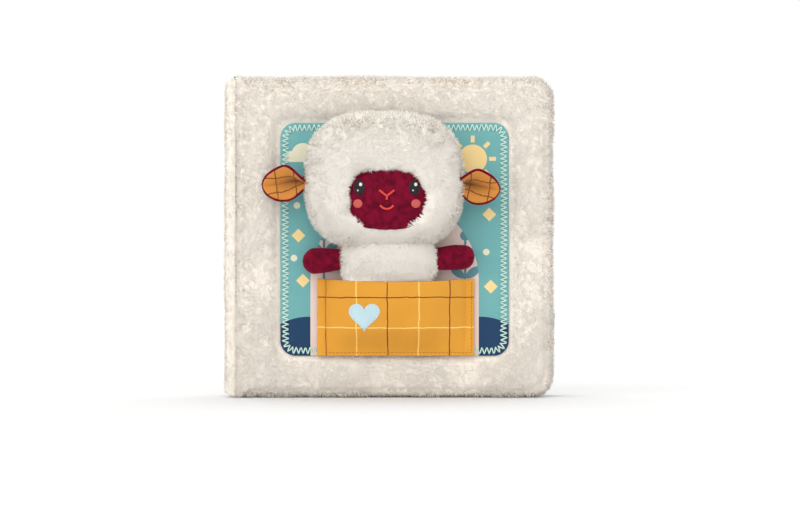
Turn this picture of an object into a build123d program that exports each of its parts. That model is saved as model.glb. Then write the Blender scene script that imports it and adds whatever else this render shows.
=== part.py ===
from build123d import *
from math import cos, pi, sin
import os

# Baby activity book: a padded cloth book, closed, that stands on its bottom edge.
# Its two fleece covers fold open at the edges of a fleece spine, which carries the pages.
# A sewn panel on the front cover has a pocket, and a plush lamb sits in the pocket.
# X runs from the spine to the fore edge, Y from the front cover to the back cover, Z up.
# The origin is the middle of the bottom edge of the middle page. Sizes are in millimetres.

# Book
book_height = 214.0
cover_width = 211.7
spine_thickness = 8.0
hinge_gap = 0.3
corner_radius = 11.0

# Cover layers, from the outside in
fleece_thickness = 6.0
wadding_thickness = 5.0
lining_thickness = 1.0
fleece_rim = 5.0
layer_gap = 0.1
outer_edge_radius = 5.0
inner_edge_radius = 2.5
spine_edge_radius = 6.0

# Pages: padded leaves, sewn together along the gutter
leaf_count = 3
leaf_thickness = 9.0
leaf_gap = 0.8
leaf_edge_radius = 3.0
leaf_corner_radius = 9.0
page_inset = 4.0
page_clearance = 0.4
gutter_width = 4.0
gutter_pinch = 2.8
gutter_slope = 12.0

# Sewn panel on the front cover
panel_width = 152.0
panel_shift = 4.0
panel_bottom = 28.0
panel_top_margin = 31.0
panel_corner = 10.0
panel_thickness = 1.0
recess_depth = 3.2
recess_margin = 1.2
recess_edge_radius = 1.8
print_thickness = 0.3

# Zigzag stitch round the panel
stitch_inset = 3.4
stitch_pitch = 3.1
stitch_reach = 1.7
stitch_half_width = 1.0
stitch_height = 0.5

# Printed fields of the panel
arch_width = 112.0
arch_rise = 106.0
hill_height = 26.0
hill_sag = 5.0
hill_count = 4
sun_inset = (24.0, 24.0)
sun_radius = 9.5
sun_ray_gap = 1.4
sun_ray_length = 4.6
sun_ray_width = 2.6
sun_ray_count = 8
cloud_inset = (15.0, 21.0)
cloud_radius = 7.5
cloud_side_share = 0.65
diamond_steps = ((-64.0, 80.0), (-61.0, 50.0), (63.0, 94.0), (64.0, 46.0))
diamond_size = 6.5
cloud_dot_step = (21.0, 13.0)
dot_steps = ((-65.0, 100.0), (64.0, 111.0), (-67.0, 65.0), (61.0, 69.0))
dot_radius = 2.2
sprig_steps = ((47.0, 42.0, 38.0), (-47.0, 50.0, 30.0))
stem_width = 1.6
leaf_length = 13.0
leaf_width = 5.6
leaf_turn = 38.0
leaf_rises = (0.25, 0.6)
bud_radius = 3.4

# Pocket
pocket_width = 104.0
pocket_height = 51.5
pocket_x = 4.8
pocket_flange = 5.0
pocket_cloth = 1.6
pocket_bulge_bottom = 0.5
pocket_bulge_low = 12.5
pocket_bulge_top = 17.0
pocket_low_rise = 17.0
pocket_top_sag = 2.2
check_line = 1.1
check_step = 20.5
check_column_inset = 5.6
check_row_rise = 19.0
heart_lobe = 5.6
heart_drop = 13.5
heart_spread = 0.9
heart_x = -16.0
heart_rise = 27.0

# Lamb: wool head, sewn face, body, arms and ears
head_width = 102.0
head_height = 88.5
head_front_depth = 26.0
head_back_depth = 17.0
head_rise = 64.3
head_squareness = 2.8
head_x = -3.0
neck_cut = 3.5
face_width = 54.0
face_height = 38.0
face_x = -1.0
face_drop = 11.5
face_sink = 3.0
face_pad = 12.0
face_ball_radius = 60.0
thread_height = 0.6
thread_line = 1.3
eye_width = 6.6
eye_height = 9.6
eye_spacing = 36.0
eye_rise = 6.6
nose_stroke = 6.2
nose_turn = 38.0
nose_stem = 2.2
nose_rise = 1.0
mouth_radius = 5.0
mouth_share = 0.5
mouth_drop = 2.4
cheek_radius = 3.0
cheek_spacing = 38.0
cheek_drop = 3.9
body_x = 0.0
body_half_width = 31.5
body_bottom_rise = 12.0
body_low_rise = 30.0
body_bottom_share = 0.7
body_low_share = 0.84
body_neck_share = 0.92
body_bottom_depth = 6.0
body_low_depth = 10.5
body_pocket_depth = 13.6
body_shoulder_depth = 20.0
arm_radius = 8.2
arm_root_radius = 6.8
arm_reach = 25.0
arm_root_depth = 5.0
arm_rise = 13.0
ear_length = 33.0
ear_width = 25.0
ear_root_width = 12.0
ear_root_depth = 3.5
ear_drop = 3.3
ear_back_step = 1.0
ear_cloth = 1.8
ear_lining_cloth = 1.4
ear_seam = 1.8
ear_cup_root = 6.0
ear_cup_tip = 15.0
ear_lean_left = 6.0
ear_lean_right = 18.0
ear_droop_left = 2.0
ear_droop_right = 12.0
soft_gap = 0.3

# How far from a plane an edge may lie and still be picked as lying in it
pick_slack = 0.01

# Places worked out from the sizes above
cover_thickness = fleece_thickness + wadding_thickness + lining_thickness
block_thickness = leaf_count * leaf_thickness + (leaf_count - 1) * leaf_gap
book_thickness = block_thickness + 2 * page_clearance + 2 * cover_thickness
book_width = spine_thickness + hinge_gap + cover_width
spine_outer_x = -book_width / 2
spine_inner_x = spine_outer_x + spine_thickness
cover_hinge_x = spine_inner_x + hinge_gap
fore_edge_x = book_width / 2
front_y = -book_thickness / 2
cover_inner_y = front_y + cover_thickness
panel_height = book_height - panel_bottom - panel_top_margin
panel_top = panel_bottom + panel_height
arch_top = panel_bottom + arch_rise
sun_place = (panel_shift + panel_width / 2 - sun_inset[0], panel_top - sun_inset[1])
cloud_place = (panel_shift - panel_width / 2 + cloud_inset[0], panel_top - cloud_inset[1])
cloud_dot_place = (cloud_place[0] + cloud_dot_step[0], cloud_place[1] + cloud_dot_step[1])
recess_y = front_y + recess_depth
panel_face_y = recess_y - panel_thickness
print_face_y = panel_face_y - print_thickness
stitch_face_y = print_face_y - stitch_height
pocket_back_y = stitch_face_y - layer_gap
pocket_top = panel_bottom + pocket_height
lamb_back_y = stitch_face_y - layer_gap
head_y = lamb_back_y - head_back_depth
head_middle_z = pocket_top + head_rise
face_middle_z = head_middle_z - face_drop
neck_z = head_middle_z - head_height / 2 + neck_cut
arm_middle_z = pocket_top + arm_rise
arm_y = lamb_back_y - body_shoulder_depth / 2
ear_z = head_middle_z - ear_drop
ear_y = head_y + ear_back_step
face_floor_y = head_y - head_front_depth + face_sink + face_pad

FAR = 400.0


def slab(outline, y_front, y_back):
    """A flat piece with an outline drawn in X and Z, between two depths."""
    return extrude(Plane.XZ.offset(-y_back) * outline, amount=y_back - y_front)


def block(x_low, x_high, y_low, y_high, z_low, z_high):
    """A box between two corners."""
    middle = ((x_low + x_high) / 2, (y_low + y_high) / 2, (z_low + z_high) / 2)
    return Pos(*middle) * Box(x_high - x_low, y_high - y_low, z_high - z_low)


def cover_outline(inset):
    """The outline of a cover: square at the hinge, rounded at the fore edge."""
    width = cover_width - 2 * inset
    height = book_height - 2 * inset
    middle_x = (cover_hinge_x + fore_edge_x) / 2
    outline = Pos(middle_x, book_height / 2) * Rectangle(width, height)
    corners = outline.vertices().group_by(Axis.X)[-1]
    return fillet(corners, radius=corner_radius - inset)


def free_edges(plate, plane_y, hinge_x):
    """The edges of a flat face of a plate, without the one at the hinge."""
    ring = plate.edges().filter_by_position(Axis.Y, plane_y - pick_slack, plane_y + pick_slack)
    return [edge for edge in ring if edge.center().X > hinge_x + pick_slack]


def panel_outline(margin):
    """The outline of the sewn panel, grown by a margin."""
    shape = RectangleRounded(panel_width + 2 * margin, panel_height + 2 * margin, panel_corner + margin)
    return Pos(panel_shift, panel_bottom + panel_height / 2) * shape


def cover_fleece(with_recess):
    """Fleece of a cover: it wraps the edges and leaves a tray for the wadding and the lining."""
    fleece = slab(cover_outline(0), front_y, cover_inner_y)
    fleece = fillet(free_edges(fleece, front_y, cover_hinge_x), outer_edge_radius)
    fleece = fillet(free_edges(fleece, cover_inner_y, cover_hinge_x), inner_edge_radius)
    fleece -= slab(cover_outline(fleece_rim), front_y + fleece_thickness, cover_inner_y)
    if with_recess:
        fleece -= slab(panel_outline(recess_margin), front_y, recess_y)
        rim = fleece.faces().filter_by(Plane.XZ).sort_by(Axis.Y)[0].inner_wires()[0].edges()
        fleece = fillet(rim, recess_edge_radius)
    return fleece


def cover_pieces(with_recess):
    """The three layers of a front cover, from the outside in."""
    wadding_y = front_y + fleece_thickness + layer_gap
    lining_y = cover_inner_y - lining_thickness
    tray_inset = fleece_rim + layer_gap
    wadding = slab(cover_outline(tray_inset), wadding_y, lining_y - layer_gap)
    lining = slab(cover_outline(tray_inset), lining_y, cover_inner_y)
    return cover_fleece(with_recess), wadding, lining


def spine_pieces():
    """The fleece of the spine and the strip of lining that the pages are sewn to."""
    half_depth = book_thickness / 2 - hinge_gap
    lining_x = spine_inner_x - lining_thickness
    fleece = block(spine_outer_x, lining_x, -half_depth, half_depth, 0, book_height)
    outer = fleece.faces().sort_by(Axis.X)[0].edges().filter_by(Axis.Z)
    fleece = fillet(outer, spine_edge_radius)
    ends = fleece.edges().filter_by(Axis.Y).group_by(Axis.X)[0]
    fleece = fillet(ends, outer_edge_radius)
    half_lining = half_depth - fleece_rim
    lining = block(lining_x, spine_inner_x, -half_lining, half_lining, 0, book_height)
    return fleece, lining


def one_leaf(middle_y):
    """A padded leaf: rounded at its free edges and pinched towards the gutter."""
    low_x = spine_inner_x
    high_x = fore_edge_x - page_inset
    height = book_height - page_inset
    outline = Pos((low_x + high_x) / 2, height / 2) * Rectangle(high_x - low_x, height)
    outline = fillet(outline.vertices().group_by(Axis.X)[-1], radius=leaf_corner_radius)
    near = middle_y - leaf_thickness / 2
    far = middle_y + leaf_thickness / 2
    leaf = slab(outline, near, far)
    leaf = fillet(free_edges(leaf, near, low_x) + free_edges(leaf, far, low_x), leaf_edge_radius)
    pinch = Polygon(
        (low_x, near - 1),
        (low_x + gutter_width + gutter_slope, near - 1),
        (low_x + gutter_width + gutter_slope, near),
        (low_x + gutter_width, near + gutter_pinch),
        (low_x, near + gutter_pinch),
        align=None,
    )
    cut = extrude(pinch, amount=FAR)
    other = mirror(cut, about=Plane.XZ.offset(-middle_y))
    return leaf - cut - other


def page_block():
    """All the leaves and the gutter strip that joins them: one sewn piece."""
    pitch = leaf_thickness + leaf_gap
    first = -(leaf_count - 1) * pitch / 2
    half = block_thickness / 2 - gutter_pinch
    height = book_height - page_inset
    pages = block(spine_inner_x, spine_inner_x + gutter_width, -half, half, 0, height)
    for number in range(leaf_count):
        pages += one_leaf(first + number * pitch)
    return pages


def ring_point(distance, reach):
    """A point that far along a rounded rectangle inside the panel's edge, and reach beyond it."""
    radius = panel_corner - stitch_inset
    straight_x = panel_width - 2 * panel_corner
    straight_z = panel_height - 2 * panel_corner
    arc = radius * pi / 2
    centre_z = panel_bottom + panel_height / 2
    turns = [
        (straight_x, -straight_x / 2, straight_z / 2, 1, 0),
        (straight_z, straight_x / 2, straight_z / 2, 0, -1),
        (straight_x, straight_x / 2, -straight_z / 2, -1, 0),
        (straight_z, -straight_x / 2, -straight_z / 2, 0, 1),
    ]
    for length, start_x, start_z, along_x, along_z in turns:
        out_x, out_z = -along_z, along_x
        if distance <= length:
            x = start_x + along_x * distance + out_x * (radius + reach)
            z = start_z + along_z * distance + out_z * (radius + reach)
            return panel_shift + x, centre_z + z
        distance -= length
        if distance <= arc:
            turn = distance / radius
            corner_x = start_x + along_x * length
            corner_z = start_z + along_z * length
            x = corner_x + (out_x * cos(turn) + along_x * sin(turn)) * (radius + reach)
            z = corner_z + (out_z * cos(turn) + along_z * sin(turn)) * (radius + reach)
            return panel_shift + x, centre_z + z
        distance -= arc
    return ring_point(0, reach)


def zigzag_stitch():
    """The zigzag seam that holds the panel: one flat thread, back and forth along the edge."""
    radius = panel_corner - stitch_inset
    around = 2 * (panel_width + panel_height - 4 * panel_corner) + 2 * pi * radius
    count = 2 * round(around / stitch_pitch)
    loops = []
    for side in (stitch_half_width, -stitch_half_width):
        points = []
        for number in range(count):
            reach = stitch_reach if number % 2 else -stitch_reach
            points.append(ring_point(around * number / count, reach + side))
        loops.append(Polyline(*points, close=True))
    outer, inner = (make_face(loop) for loop in loops)
    return slab(outer - inner, stitch_face_y, print_face_y)


def panel_hills(arch):
    """Rounded hills along the foot of the panel, each side of the arch."""
    left = panel_shift - panel_width / 2
    step = panel_width / hill_count
    top = panel_bottom + hill_height
    radius = (step * step / 4 + hill_sag * hill_sag) / (2 * hill_sag)
    hills = Pos(panel_shift, panel_bottom + (hill_height - hill_sag) / 2) * Rectangle(
        panel_width, hill_height - hill_sag
    )
    for number in range(hill_count):
        crown = Pos(left + (number + 0.5) * step, top - radius) * Circle(radius)
        foot = Pos(left + (number + 0.5) * step, top - hill_sag / 2) * Rectangle(step, hill_sag)
        hills += crown & foot
    return (hills & panel_outline(0)) - arch


def arch_outline():
    """A round-topped arch that stands on the panel's lower edge."""
    radius = arch_width / 2
    foot_height = arch_top - radius - panel_bottom
    foot = Pos(panel_shift, panel_bottom + foot_height / 2) * Rectangle(arch_width, foot_height)
    crown = Pos(panel_shift, arch_top - radius) * Circle(radius)
    return (foot + crown) & panel_outline(0)


def sun_outline():
    """A disc with short rays."""
    sun = Circle(sun_radius)
    reach = sun_radius + sun_ray_gap + sun_ray_length / 2
    for number in range(sun_ray_count):
        ray = Rectangle(sun_ray_length, sun_ray_width)
        sun += Rot(0, 0, 360 * number / sun_ray_count) * Pos(reach, 0) * ray
    return Pos(*sun_place) * sun


def cloud_outline():
    """Three puffs on a flat foot."""
    side_radius = cloud_radius * cloud_side_share
    drop = cloud_radius - side_radius
    puffs = Circle(cloud_radius)
    for x in (-cloud_radius, cloud_radius):
        puffs += Pos(x, -drop) * Circle(side_radius)
    foot = -drop - side_radius / 2
    puffs -= Pos(0, foot - cloud_radius) * Rectangle(4 * cloud_radius, 2 * cloud_radius)
    return Pos(*cloud_place) * puffs


def leaf_outline():
    """A pointed leaf that starts at the origin and runs along X."""
    bow = (leaf_length * leaf_length + leaf_width * leaf_width) / (4 * leaf_width)
    middle = leaf_length / 2
    offset = bow - leaf_width / 2
    return (Pos(middle, offset) * Circle(bow)) & (Pos(middle, -offset) * Circle(bow))


def sprig_outline(height):
    """A stem that stands on the origin, with leaves on both sides and a round bud."""
    sprig = Pos(0, height / 2) * Rectangle(stem_width, height)
    for rise in leaf_rises:
        for turn in (leaf_turn, 180 - leaf_turn):
            sprig += Pos(0, height * rise) * Rot(0, 0, turn) * leaf_outline()
    return sprig + Pos(0, height) * Circle(bud_radius)


def on_panel(step):
    """A place on the panel: a step sideways from its middle and up from its lower edge."""
    return Pos(panel_shift + step[0], panel_bottom + step[1])


def panel_prints():
    """The printed fields of the panel, each colour a thin layer of shapes."""
    arch = arch_outline()
    sun = sun_outline()
    for step in diamond_steps:
        sun += on_panel(step) * Rot(0, 0, 45) * Rectangle(diamond_size, diamond_size)
    cloud = cloud_outline() + Pos(*cloud_dot_place) * Circle(dot_radius)
    for step in dot_steps:
        cloud += on_panel(step) * Circle(dot_radius)
    sprigs = Sketch()
    for x, z, height in sprig_steps:
        sprigs += on_panel((x, z)) * sprig_outline(height)
    sprigs = sprigs & arch
    fields = {
        "panel_print_pink_arch": arch - sprigs,
        "panel_print_navy_hills": panel_hills(arch),
        "panel_print_yellow_sun": sun,
        "panel_print_cream_cloud": cloud,
        "panel_print_sprigs": sprigs,
    }
    return {name: slab(field, print_face_y, panel_face_y) for name, field in fields.items()}


def pocket_section(z, bulge, inner, outer):
    """The pocket's plan at one height: two flat flanges and a bow, between two cloth depths."""
    half = pocket_width / 2
    bow = half - pocket_flange
    x = pocket_x
    near = pocket_back_y - outer
    far = pocket_back_y - inner
    edges = [
        Line((x - half, near, z), (x - bow, near, z)),
        ThreePointArc((x - bow, near, z), (x, near - bulge, z), (x + bow, near, z)),
        Line((x + bow, near, z), (x + half, near, z)),
        Line((x + half, near, z), (x + half, far, z)),
        Line((x + half, far, z), (x + bow, far, z)),
        ThreePointArc((x + bow, far, z), (x, far - bulge, z), (x - bow, far, z)),
        Line((x - bow, far, z), (x - half, far, z)),
        Line((x - half, far, z), (x - half, near, z)),
    ]
    return make_face(edges)


def pocket_layer(inner, outer):
    """A bowed sheet over the pocket's whole height, between two cloth depths."""
    sections = [
        pocket_section(panel_bottom, pocket_bulge_bottom, inner, outer),
        pocket_section(panel_bottom + pocket_low_rise, pocket_bulge_low, inner, outer),
        pocket_section(pocket_top, pocket_bulge_top, inner, outer),
    ]
    sheet = loft(sections)
    radius = (pocket_width * pocket_width / 4 + pocket_top_sag * pocket_top_sag) / (2 * pocket_top_sag)
    scoop = Pos(pocket_x, pocket_top + radius - pocket_top_sag) * Circle(radius)
    return sheet - slab(scoop, -FAR, FAR)


def heart_outline():
    """A plain heart: two round lobes over straight sides that run to a point."""
    lobe = heart_lobe
    turn = pi / 4
    side_x = lobe * (heart_spread + cos(turn))
    side_z = -lobe * sin(turn)
    dip_z = lobe * (1 - heart_spread * heart_spread) ** 0.5
    crown_x = lobe * heart_spread
    outline = make_face(
        [
            ThreePointArc((0, dip_z), (crown_x, lobe), (side_x, side_z)),
            Line((side_x, side_z), (0, -heart_drop)),
            Line((0, -heart_drop), (-side_x, side_z)),
            ThreePointArc((-side_x, side_z), (-crown_x, lobe), (0, dip_z)),
        ]
    )
    return Pos(heart_x, panel_bottom + heart_rise) * outline


def check_outlines():
    """The lines of the pocket's windowpane check: the plum ones, and the pale ones under them."""
    left = pocket_x - pocket_width / 2 + check_column_inset
    low = panel_bottom + check_row_rise
    columns = [Pos(left + check_step * number, low) * Rectangle(check_line, FAR) for number in range(5)]
    rows = [Pos(pocket_x, low + check_step * number) * Rectangle(FAR, check_line) for number in range(2)]
    plum = columns[0] + columns[2] + columns[4] + rows[1]
    pale = (columns[1] + columns[3] + rows[0]) - plum
    return plum, pale


def pocket_pieces():
    """The pocket's cloth, the two colours of its printed check, and the patch on it."""
    face = pocket_cloth + layer_gap
    skin = pocket_layer(face, face + print_thickness)
    patch_skin = pocket_layer(face, face + 2 * print_thickness)
    heart = heart_outline()
    plum, pale = check_outlines()
    return {
        "pocket": pocket_layer(0, pocket_cloth),
        "pocket_check_plum": skin & slab(plum - heart, -FAR, panel_face_y),
        "pocket_check_pale": skin & slab(pale - heart, -FAR, panel_face_y),
        "pocket_heart_patch": patch_skin & slab(heart, -FAR, panel_face_y),
    }


def head_form():
    """The head: ovals from the neck to the crown, with a full, squarish outline seen from the front."""
    wide = head_width / 2
    tall = head_height / 2
    low = neck_cut / tall - 1
    rings = []
    for share in (low, -0.72, -0.4, 0, 0.4, 0.72, 0.9, 0.99):
        radius = wide * (1 - abs(share) ** head_squareness) ** (1 / head_squareness)
        oval = Ellipse(radius, radius * head_front_depth / wide)
        rings.append(Pos(head_x, head_y, head_middle_z + share * tall) * oval)
    return loft(rings)


def face_outline(margin):
    """The oval of the face, smaller by margin."""
    return Pos(face_x, face_middle_z) * Ellipse(face_width / 2 - margin, face_height / 2 - margin)


def face_ball(grow):
    """The ball whose front is the face, larger all round by grow."""
    face_front_y = head_y - head_front_depth + face_sink
    return Pos(face_x, face_front_y + face_ball_radius, face_middle_z) * Sphere(face_ball_radius + grow)


def ear_layer(side, outer, inner, margin):
    """One cloth layer of an ear: a leaf outline on a cone that opens towards the front."""
    tip = Pos(ear_length - ear_width / 2, 0) * Circle(ear_width / 2 - margin)
    root = Pos(ear_root_width / 2, 0) * Circle(ear_root_width / 2 - margin / 2)
    leaf = make_hull(tip.edges() + root.edges())
    shell = Cone(ear_cup_root + outer, ear_cup_tip + outer, ear_length)
    shell -= Cone(ear_cup_root + inner, ear_cup_tip + inner, ear_length)
    shell = Pos(ear_length / 2, 0, 0) * Rot(0, 90, 0) * shell
    lean, droop = (ear_lean_left, ear_droop_left) if side < 0 else (ear_lean_right, ear_droop_right)
    layer = Rot(0, droop, 0) * Rot(0, 0, -lean) * Pos(0, -ear_cup_root, 0) * (slab(leaf, 0, FAR) & shell)
    if side < 0:
        layer = mirror(layer, about=Plane.YZ)
    root_x = head_x + side * (head_width / 2 - ear_root_depth)
    return Pos(root_x, ear_y, ear_z) * layer


def lamb_ear(side):
    """An ear: its velvet back, its cotton lining, and the slot for its root in the wool."""
    lining_outer = -layer_gap
    lining_inner = lining_outer - ear_lining_cloth
    back = ear_layer(side, ear_cloth, 0, 0)
    lining = ear_layer(side, lining_outer, lining_inner, ear_seam)
    slot = ear_layer(side, ear_cloth + soft_gap, lining_inner - soft_gap, -soft_gap)
    return back, lining, slot


def lamb_body():
    """The body: a soft wedge, widest at the shoulders and thin at the pocket's foot."""
    stations = [
        (panel_bottom + body_bottom_rise, body_bottom_share, body_bottom_depth),
        (panel_bottom + body_low_rise, body_low_share, body_low_depth),
        (pocket_top, 1.0, body_pocket_depth),
        (arm_middle_z, 1.0, body_shoulder_depth),
        (neck_z - layer_gap, body_neck_share, body_shoulder_depth),
    ]
    rings = []
    for z, share, depth in stations:
        oval = Ellipse(body_half_width * share, depth / 2)
        rings.append(Pos(body_x, lamb_back_y - depth / 2, z) * oval)
    return loft(rings)


def lamb_arm(side, grow):
    """A stubby arm, thicker at its round end, that points sideways."""
    length = arm_reach + arm_root_depth
    shoulder = length - arm_radius
    tip = arm_radius + grow
    profile = make_face(
        [
            Line((-grow, 0), (-grow, arm_root_radius + grow)),
            Line((-grow, arm_root_radius + grow), (shoulder, tip)),
            ThreePointArc((shoulder, tip), (shoulder + tip * sin(pi / 4), tip * cos(pi / 4)), (shoulder + tip, 0)),
            Line((shoulder + tip, 0), (-grow, 0)),
        ]
    )
    arm = revolve(profile, axis=Axis.X)
    if side < 0:
        arm = mirror(arm, about=Plane.YZ)
    root_x = body_x + side * (body_half_width - arm_root_depth)
    return Pos(root_x, arm_y, arm_middle_z) * arm


def nose_outline():
    """A stitched nose: two short strokes that meet above a stem."""
    nose = Sketch()
    for turn, length in ((nose_turn, nose_stroke), (180 - nose_turn, nose_stroke), (-90, nose_stem)):
        stroke = SlotOverall(length + thread_line, thread_line)
        nose += Rot(0, 0, turn) * Pos(length / 2, 0) * stroke
    return Pos(face_x, face_middle_z + nose_rise) * nose


def mouth_outline():
    """A stitched smile: the lower part of a ring."""
    ring = Circle(mouth_radius + thread_line / 2) - Circle(mouth_radius - thread_line / 2)
    low = Pos(0, -mouth_radius * (mouth_share + 1)) * Rectangle(4 * mouth_radius, 2 * mouth_radius)
    return Pos(face_x, face_middle_z - mouth_drop) * (ring & low)


def face_pieces():
    """The velvet face in its opening, and the sewn features that lie on it."""
    face = face_ball(0) & slab(face_outline(soft_gap), -FAR, face_floor_y - layer_gap)
    skin = face_ball(thread_height) - face_ball(layer_gap)
    eye_z = face_middle_z + eye_rise
    eye = Ellipse(eye_width / 2, eye_height / 2)
    cheeks = Sketch()
    for side in (-1, 1):
        cheeks += Pos(face_x + side * cheek_spacing / 2, face_middle_z - cheek_drop) * Circle(cheek_radius)
    shapes = {
        "lamb_eye_left": Pos(face_x - eye_spacing / 2, eye_z) * eye,
        "lamb_eye_right": Pos(face_x + eye_spacing / 2, eye_z) * eye,
        "lamb_nose": nose_outline(),
        "lamb_mouth": mouth_outline(),
        "lamb_cheeks": cheeks,
    }
    pieces = {name: skin & slab(shape, -FAR, face_floor_y) for name, shape in shapes.items()}
    pieces["lamb_face"] = face
    return pieces


def lamb_pieces():
    """All the pieces of the plush lamb."""
    room = block(-FAR, FAR, -FAR, lamb_back_y, neck_z, FAR)
    wool = (head_form() & room) - slab(face_outline(0), -FAR, face_floor_y)
    body = lamb_body()
    pieces = face_pieces()
    for name, side in (("left", -1), ("right", 1)):
        back, lining, slot = lamb_ear(side)
        wool -= slot
        body -= lamb_arm(side, layer_gap)
        pieces["lamb_ear_" + name] = back
        pieces["lamb_ear_lining_" + name] = lining
        pieces["lamb_arm_" + name] = lamb_arm(side, 0)
    pieces["lamb_head_wool"] = wool
    pieces["lamb_body_wool"] = body
    return pieces


def book_pieces():
    """The spine, the pages and the layers of both covers."""
    spine_fleece, spine_lining = spine_pieces()
    pieces = {
        "spine_fleece": spine_fleece,
        "spine_lining": spine_lining,
        "page_block": page_block(),
    }
    layers = ("fleece", "wadding", "lining")
    for layer, piece in zip(layers, cover_pieces(with_recess=True)):
        pieces["front_cover_" + layer] = piece
    for layer, piece in zip(layers, cover_pieces(with_recess=False)):
        pieces["back_cover_" + layer] = mirror(piece, about=Plane.XZ)
    return pieces


def main():
    """Builds every piece and writes one file for each."""
    pieces = book_pieces()
    pieces["front_panel"] = slab(panel_outline(0), panel_face_y, recess_y)
    pieces["panel_zigzag_stitch"] = zigzag_stitch()
    pieces.update(panel_prints())
    pieces.update(pocket_pieces())
    pieces.update(lamb_pieces())
    os.makedirs("parts", exist_ok=True)
    for name, piece in pieces.items():
        export_step(piece, "parts/" + name + ".step")


main()
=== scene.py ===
import bpy
import numpy as np
from bpy.props import FloatProperty, FloatVectorProperty, IntProperty, PointerProperty
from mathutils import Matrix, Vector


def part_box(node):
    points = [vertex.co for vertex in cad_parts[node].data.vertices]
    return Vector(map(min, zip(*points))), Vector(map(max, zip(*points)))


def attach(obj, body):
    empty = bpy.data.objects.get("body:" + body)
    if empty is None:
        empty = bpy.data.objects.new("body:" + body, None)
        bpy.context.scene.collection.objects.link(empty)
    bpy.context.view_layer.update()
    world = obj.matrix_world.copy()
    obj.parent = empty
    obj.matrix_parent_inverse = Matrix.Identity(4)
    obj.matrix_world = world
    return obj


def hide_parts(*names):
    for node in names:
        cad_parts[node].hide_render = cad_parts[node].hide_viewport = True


bl_info = {
    "name": "Baby Activity Book",
    "version": (1, 0, 0),
    "blender": (4, 5, 0),
    "location": "3D View > Sidebar > Cloth Book",
    "description": "Dresses a padded cloth book: fleece covers, sewn panel, pocket and plush lamb",
    "category": "Object",
}

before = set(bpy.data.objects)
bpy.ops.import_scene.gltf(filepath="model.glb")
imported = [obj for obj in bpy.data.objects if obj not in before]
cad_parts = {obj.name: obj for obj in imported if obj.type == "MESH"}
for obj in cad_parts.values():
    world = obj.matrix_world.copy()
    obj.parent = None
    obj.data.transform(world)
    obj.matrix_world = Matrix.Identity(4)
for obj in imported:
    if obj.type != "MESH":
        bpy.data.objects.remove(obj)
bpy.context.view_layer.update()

# The frame is in metres and the sewing sizes below are written in millimetres.
MM = 0.001


def tone(red, green, blue):
    """A colour as a screen shows it, 0 to 255, turned into scene light."""
    shown = np.array((red, green, blue)) / 255
    return tuple(np.where(shown <= 0.04045, shown / 12.92, ((shown + 0.055) / 1.055) ** 2.4).tolist())


def node_box(name):
    """The lowest and highest corner of a CAD node."""
    low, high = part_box(name)
    return np.array(low), np.array(high)


cover_low, cover_high = node_box("front_cover_fleece")
spine_low, spine_high = node_box("spine_fleece")
panel_low, panel_high = node_box("front_panel")
pages_low, pages_high = node_box("page_block")


# Settings that a user would change


def length_setting(name, words, length, least=0):
    """A length shown in the sidebar, given in millimetres with its least value."""
    return FloatProperty(
        name=name, description=words, default=length * MM, min=least * MM, unit="LENGTH", precision=4
    )


def strength_setting(name, words, strength):
    """The strength of a light shown in the sidebar."""
    return FloatProperty(name=name, description=words, default=strength, min=0)


def locks_setting(words, count, least):
    """A number of locks shown in the sidebar."""
    return IntProperty(name="Locks", description=words, default=count, min=least)


def colour_setting(name, words, red, green, blue):
    """A colour shown in the sidebar."""
    return FloatVectorProperty(
        name=name, description=words, default=tone(red, green, blue), size=3, min=0, max=1, subtype="COLOR"
    )


class FleeceSettings(bpy.types.PropertyGroup):
    pile: length_setting("Pile", "Length of a lock of the cover's fleece", 2.5)
    lock_width: length_setting("Lock Width", "Width of a lock at its root", 1.25)
    inset: length_setting("Backing Inset", "How far the backing cloth lies inside the pile's outline", 1.6)
    locks: locks_setting("Locks on each half of the front cover", 36000, 10000)
    tip: colour_setting("Tip", "Colour of the pile's tips", 247, 242, 234)
    # Painted shade: the root colour is a little darker than the tip, for the shadow deep between the locks.
    root: colour_setting("Root", "Colour between the locks", 238, 229, 217)


class LiningSettings(bpy.types.PropertyGroup):
    puff: length_setting("Puff", "How far the lining swells over the wadding", 0.5)
    cloth: colour_setting("Cloth", "Lining cloth", 45, 78, 112)
    thread: colour_setting("Thread", "Topstitching on the lining", 160, 212, 202)


class PagesSettings(bpy.types.PropertyGroup):
    hem: length_setting("Hem", "Width of the bound edge of a leaf", 4.0)
    binding: colour_setting("Binding", "Bound edge of the leaves", 38, 66, 98)
    first: colour_setting("First Leaf", "Cloth of the first leaf", 237, 210, 158)
    second: colour_setting("Second Leaf", "Cloth of the middle leaf", 126, 176, 172)
    third: colour_setting("Third Leaf", "Cloth of the last leaf", 226, 200, 192)


class PanelSettings(bpy.types.PropertyGroup):
    pucker: length_setting("Pucker", "Depth of the small waves that the seam draws in the cloth", 0.35)
    thread_width: length_setting("Thread Width", "Thickness of the zigzag thread", 0.85)
    sky: colour_setting("Sky", "Ground colour of the panel", 110, 170, 171)
    arch: colour_setting("Arch", "Large arch", 228, 207, 199)
    hills: colour_setting("Hills", "Hills along the foot", 30, 62, 96)
    sun: colour_setting("Sun", "Sun and diamonds", 240, 211, 148)
    cloud: colour_setting("Cloud", "Cloud and dots", 226, 222, 196)
    leaf: colour_setting("Leaves", "Sprigs", 92, 141, 152)
    thread: colour_setting("Thread", "Zigzag thread", 214, 244, 232)


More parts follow.
